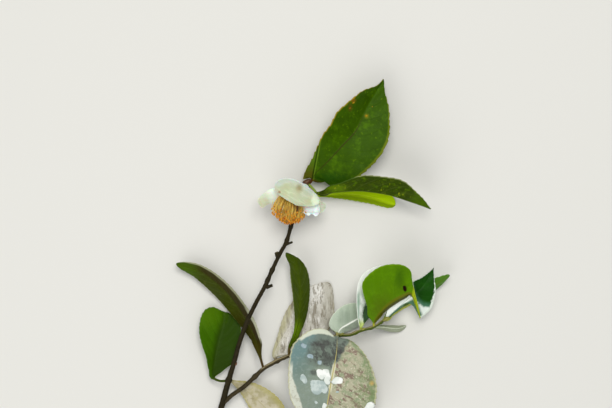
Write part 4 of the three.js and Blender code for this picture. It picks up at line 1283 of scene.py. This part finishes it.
add_petal(
    "petal_front",
    petal_material("front_petal", "#b9c29b", "#c2ceb2", "#b4bd84", "#bcc5a2", "#cdd5c2", lit_crest),
    spine=[(-9.2, 29.4, 19.5), (-8.6, 32.9, 20.2), (-8.7, 34.9, 22.6), (-8.7, 33.0, 25.4),
           (-8.1, 28.4, 27.2), (-7.4, 23.2, 26.2)],
    left_edge=[(-10.4, 29.9, 19.5), (-13.0, 34.4, 20.6), (-15.9, 34.2, 21.4), (-17.0, 32.0, 22.4),
               (-16.7, 29.8, 23.4), (-15.2, 28.0, 24.4), (-11.5, 25.5, 25.6)],
    right_edge=[(-7.9, 29.9, 19.5), (-3.4, 32.6, 20.2), (-0.6, 29.9, 21.4), (2.2, 27.3, 22.0),
                (3.0, 24.8, 22.6), (1.5, 23.3, 23.6), (-2.7, 22.7, 25.2)],
    side=np.array([0.93, -0.37, 0.0]), arched=True, crumple=0.35, wave=0.1,
)
add_petal(
    "petal_right", white_skin,
    spine=[(-6.4, 29.2, 16.0), (-4.0, 25.4, 18.5), (-2.0, 22.3, 19.6), (-0.5, 19.2, 18.8)],
    left_edge=[(-5.4, 29.2, 16.0), (-0.9, 26.6, 18.6), (2.5, 23.9, 19.4), (3.1, 20.7, 19.0),
               (1.5, 18.2, 18.6)],
    right_edge=[(-7.0, 28.6, 16.0), (-5.9, 25.2, 18.0), (-4.8, 21.8, 19.0), (-4.0, 19.6, 18.6),
                (-2.1, 18.6, 18.4)],
    arched=True, crumple=2.4, wave=0.3,
)
add_petal(
    "petal_side",
    petal_material("side_petal", "#d3dcc8", "#c2ceb2", "#b9c594", "#c9d3bb", "#e3e9da"),
    spine=[(-6.3, 28.8, 13.9), (-1.8, 26.1, 13.0), (2.2, 23.4, 12.6), (5.6, 22.1, 12.0)],
    left_edge=[(-5.4, 29.4, 13.9), (-0.5, 28.1, 13.8), (3.8, 25.2, 13.0), (5.8, 23.6, 12.4)],
    right_edge=[(-6.5, 28.0, 13.6), (-1.8, 23.6, 12.4), (2.2, 20.0, 11.8), (4.4, 20.1, 11.6)],
    arched=True, crumple=1.6, wave=0.3,
)


def stamen_rings():
    """Threads from a ring at the flower's base to a dome of anthers, and the anthers."""
    threads, anthers = [], []
    for k in range(STAMEN_COUNT):
        share = math.sqrt((k + 0.5) / STAMEN_COUNT)
        around = (k * GOLDEN_ANGLE) % 360 + draw.uniform(-STAMEN_JITTER, STAMEN_JITTER)
        foot = STAMEN_FOOT + (STAMEN_NECK - STAMEN_FOOT) * share
        end_along = STAMEN_LENGTH * (1.1 - STAMEN_DOME * share**2)
        end_along -= draw.uniform(0, STAMEN_UNEVENNESS) * share
        end_out = STAMEN_SPREAD * share * draw.uniform(0.9, 1.1)
        twist = draw.uniform(-STAMEN_TWIST, STAMEN_TWIST)
        points = [
            in_flower(0.3, foot, around),
            in_flower(end_along * 0.3, max(foot, end_out * draw.uniform(0.55, 0.72)), around + twist * 0.4),
            in_flower(end_along * 0.66, max(foot, end_out * draw.uniform(0.92, 1.06)), around + twist),
            in_flower(end_along, end_out, around + twist * 1.4),
        ]
        threads.append(limb_rings(points, (0.13, 0.12, 0.11), sides=5, step=1.3, relief=0.0))
        anthers.append(anther_rings(points[-1], unit(points[-1] - points[-2])))
    return threads, anthers


def anther_rings(place, heading):
    """A small anther at the end of a thread, fullest in its middle."""
    tilt = unit(np.array([draw.uniform(-1, 1) for _ in range(3)]) * 0.7 + heading)
    length, width = draw.uniform(0.6, 0.8), draw.uniform(0.28, 0.36)
    points = [place - tilt * length * 0.6, place + tilt * length * 0.2, place + tilt * length]
    return limb_rings(points, (0.12, width, width * 0.9, 0.12), sides=7, step=0.25, relief=0.05)


def thread_material():
    look = Look("stamen_thread", "#edc958", Subsurface_Weight=0.2, Subsurface_Scale=0.0005)
    look.paint("#cd9f34", 0.6, grain=(0.45, 0.65, 2.4))
    look.paint("#8a641c", 0.75, grain=(0.5, 0.62, 0.9, 2, 0.5, (1.0, 0.15, 1.0)))
    # Painted shadow of the front petal's edge across the threads.
    look.paint("#54280a", 0.85, spot=(-7.0, 22.0, 0.8, 0.5, (1.4, 0.35)))
    return look.finish((0.45, 0.65))


def anther_material():
    look = Look("anther", "#e09a1c")
    look.paint("#b8620c", 0.8, grain=(0.48, 0.6, 1.4))
    look.bump(look.noise(0.2), 0.05)
    return look.finish((0.7, 0.9))


def scale_material(name, base, dark, pale):
    """The look of sepals and bud scales."""
    look = Look(name, base, Subsurface_Weight=0.1, Subsurface_Scale=0.0006)
    look.paint(dark, 0.7, grain=(0.45, 0.7, 2.0))
    look.paint(pale, 0.9, look.step(look.from_rib(), 0.86, 0.98))
    look.bump(look.noise(0.6, 4), 0.05)
    return look.finish((0.4, 0.65))


threads, anthers = stamen_rings()
place_piece(limb_object("stamen_threads", threads, [thread_material()]), "stamen", "stamens")
place_piece(limb_object("anthers", anthers, [anther_material()]), "stamen")

FLOWER_STALK_POINTS = [(-3.4, 29.2, 6.1), (-5.2, 31.3, 9.0), (-7.0, 33.0, 13.2), in_flower(-2.2, 0, 0)]


def cup_rings():
    """The round cup of the calyx, from its foot to its rim, as limb_rings gives a limb."""
    turns = [math.pi / 2 * (row + 1) / CUP_ROWS for row in range(CUP_ROWS)]
    places = [
        in_flower(-CALYX_LENGTH * math.cos(turn), CALYX_RADIUS * math.sin(turn), 360 * k / CUP_SIDES)
        for turn in turns
        for k in range(CUP_SIDES)
    ]
    faces = [tuple(reversed(face)) for face in ring_faces(CUP_ROWS, CUP_SIDES)]
    return np.array(places), faces, np.full((len(places), 2), 0.5), CUP_ROWS, CUP_SIDES


sepal_skin = scale_material("sepal", "#8ea045", "#6a7c2c", "#d5d9a8")
flower_stalk = limb_rings(FLOWER_STALK_POINTS, FLOWER_STALK_RADII, sides=14, step=0.4, relief=0.04)
calyx = limb_object("calyx_and_stalk", [flower_stalk, cup_rings()], [sepal_skin])
place_piece(calyx, "calyx_green", "flower_stalk_and_calyx")

for k in range(SEPAL_COUNT):
    around = 36 + 360 / SEPAL_COUNT * k
    sepal = Blade(even_spine(around, SEPAL_PROFILE), SEPAL_WIDTHS, SEPAL_WIDTHS, side=across_flower(around),
                  bends=(-50, -50), stalk_half_width=0.7, veins=3)
    skins = [sepal_skin, sepal_skin]
    piece = blade_object(f"sepal_{k + 1}", sepal, skins, SEPAL_THICKNESS, groove=0.0, swell=0.0, step=0.25)
    place_piece(piece, "calyx_green")


# Buds in the leaf axils: place on the twig, heading, length.

GREEN_BUDS = [
    ((12.4, -35.0, 10.6), (0.8, 0.5, 0.4), 1.8),
    ((22.0, -32.6, 11.4), (0.8, 0.4, 0.5), 2.0),
    ((31.9, -28.4, 12.0), (0.8, 0.55, 0.25), 3.0),
]
BROWN_BUDS = [
    ((-34.9, -48.6, 9.4), (0.45, 0.85, 0.3), 1.6),
    ((-22.0, -50.0, 8.3), (0.75, 0.55, 0.3), 1.8),
    ((-10.8, -44.6, 9.4), (0.8, 0.5, 0.4), 2.0),
    ((-39.0, -59.0, 7.4), (-0.2, 0.9, 0.4), 1.6),
    ((-4.3, 32.9, 6.9), (0.86, 0.5, 0.12), 4.3),
    ((-2.7, 31.6, 6.3), (-0.1, 0.9, 0.5), 3.2),
]
BUD_SHAPE = (0.2, 0.29, 0.23, 0.04)


def bud_rings(place, heading, length):
    start, heading = np.array(place), unit(np.array(heading))
    points = [start - heading * 0.3, start + heading * length * 0.45, start + heading * length]
    radii = [part * length for part in BUD_SHAPE]
    return limb_rings(points, radii, sides=12, step=0.2, relief=0.08)


for name, buds, colours, slot in (
    ("green_bud", GREEN_BUDS, ("#8a8a36", "#6a6a28", "#a8a46a"), "calyx_green"),
    ("brown_bud", BROWN_BUDS, ("#5a3414", "#301c0a", "#80501c"), "bark"),
):
    skin = scale_material(name, *colours)
    place_piece(limb_object(f"{name}s", [bud_rings(*bud) for bud in buds], [skin]), slot)


# Floor, light and camera.

def add_floor():
    corners = [(x * FLOOR_HALF, y * FLOOR_HALF, 0) for x, y in ((-1, -1), (1, -1), (1, 1), (-1, 1))]
    look = Look("floor", "#dcdbd6", Roughness=0.9)
    make_object("floor", corners, [(0, 1, 2, 3)], [look.finish()])


def add_light(name, place, target, size, power, tint):
    light = bpy.data.lights.new(name, "AREA")
    light.shape, light.size, light.energy, light.color = "DISK", size * MM, power, tint
    lamp = bpy.data.objects.new(name, light)
    lamp.location = Vector(place) * MM
    lamp.rotation_euler = (Vector(target) * MM - lamp.location).to_track_quat("-Z", "Y").to_euler()
    bpy.context.scene.collection.objects.link(lamp)


def add_camera():
    camera = bpy.data.cameras.new("camera")
    camera.sensor_width = SENSOR
    camera.lens = SENSOR * (CAMERA_HEIGHT - FOCUS_HEIGHT) / PICTURE_WIDTH
    camera.clip_start, camera.clip_end = 0.05, 10
    holder = bpy.data.objects.new("camera", camera)
    holder.location = Vector((*PICTURE_MIDDLE, CAMERA_HEIGHT)) * MM
    bpy.context.scene.collection.objects.link(holder)
    bpy.context.scene.camera = holder


add_floor()
add_light("key", (60, 320, 1050), (0, 0, 0), 600, 7.2, (1.0, 0.98, 0.94))
add_light("fill", (-400, -600, 700), (0, 0, 0), 900, 3.4, (1.0, 0.99, 0.97))
add_camera()

world = bpy.data.worlds.new("studio")
world.use_nodes = True
sky = world.node_tree.nodes["Background"].inputs
sky["Color"].default_value = SKY_COLOUR
sky["Strength"].default_value = SKY_STRENGTH
bpy.context.scene.world = world
bpy.context.scene.view_settings.view_transform = "Standard"
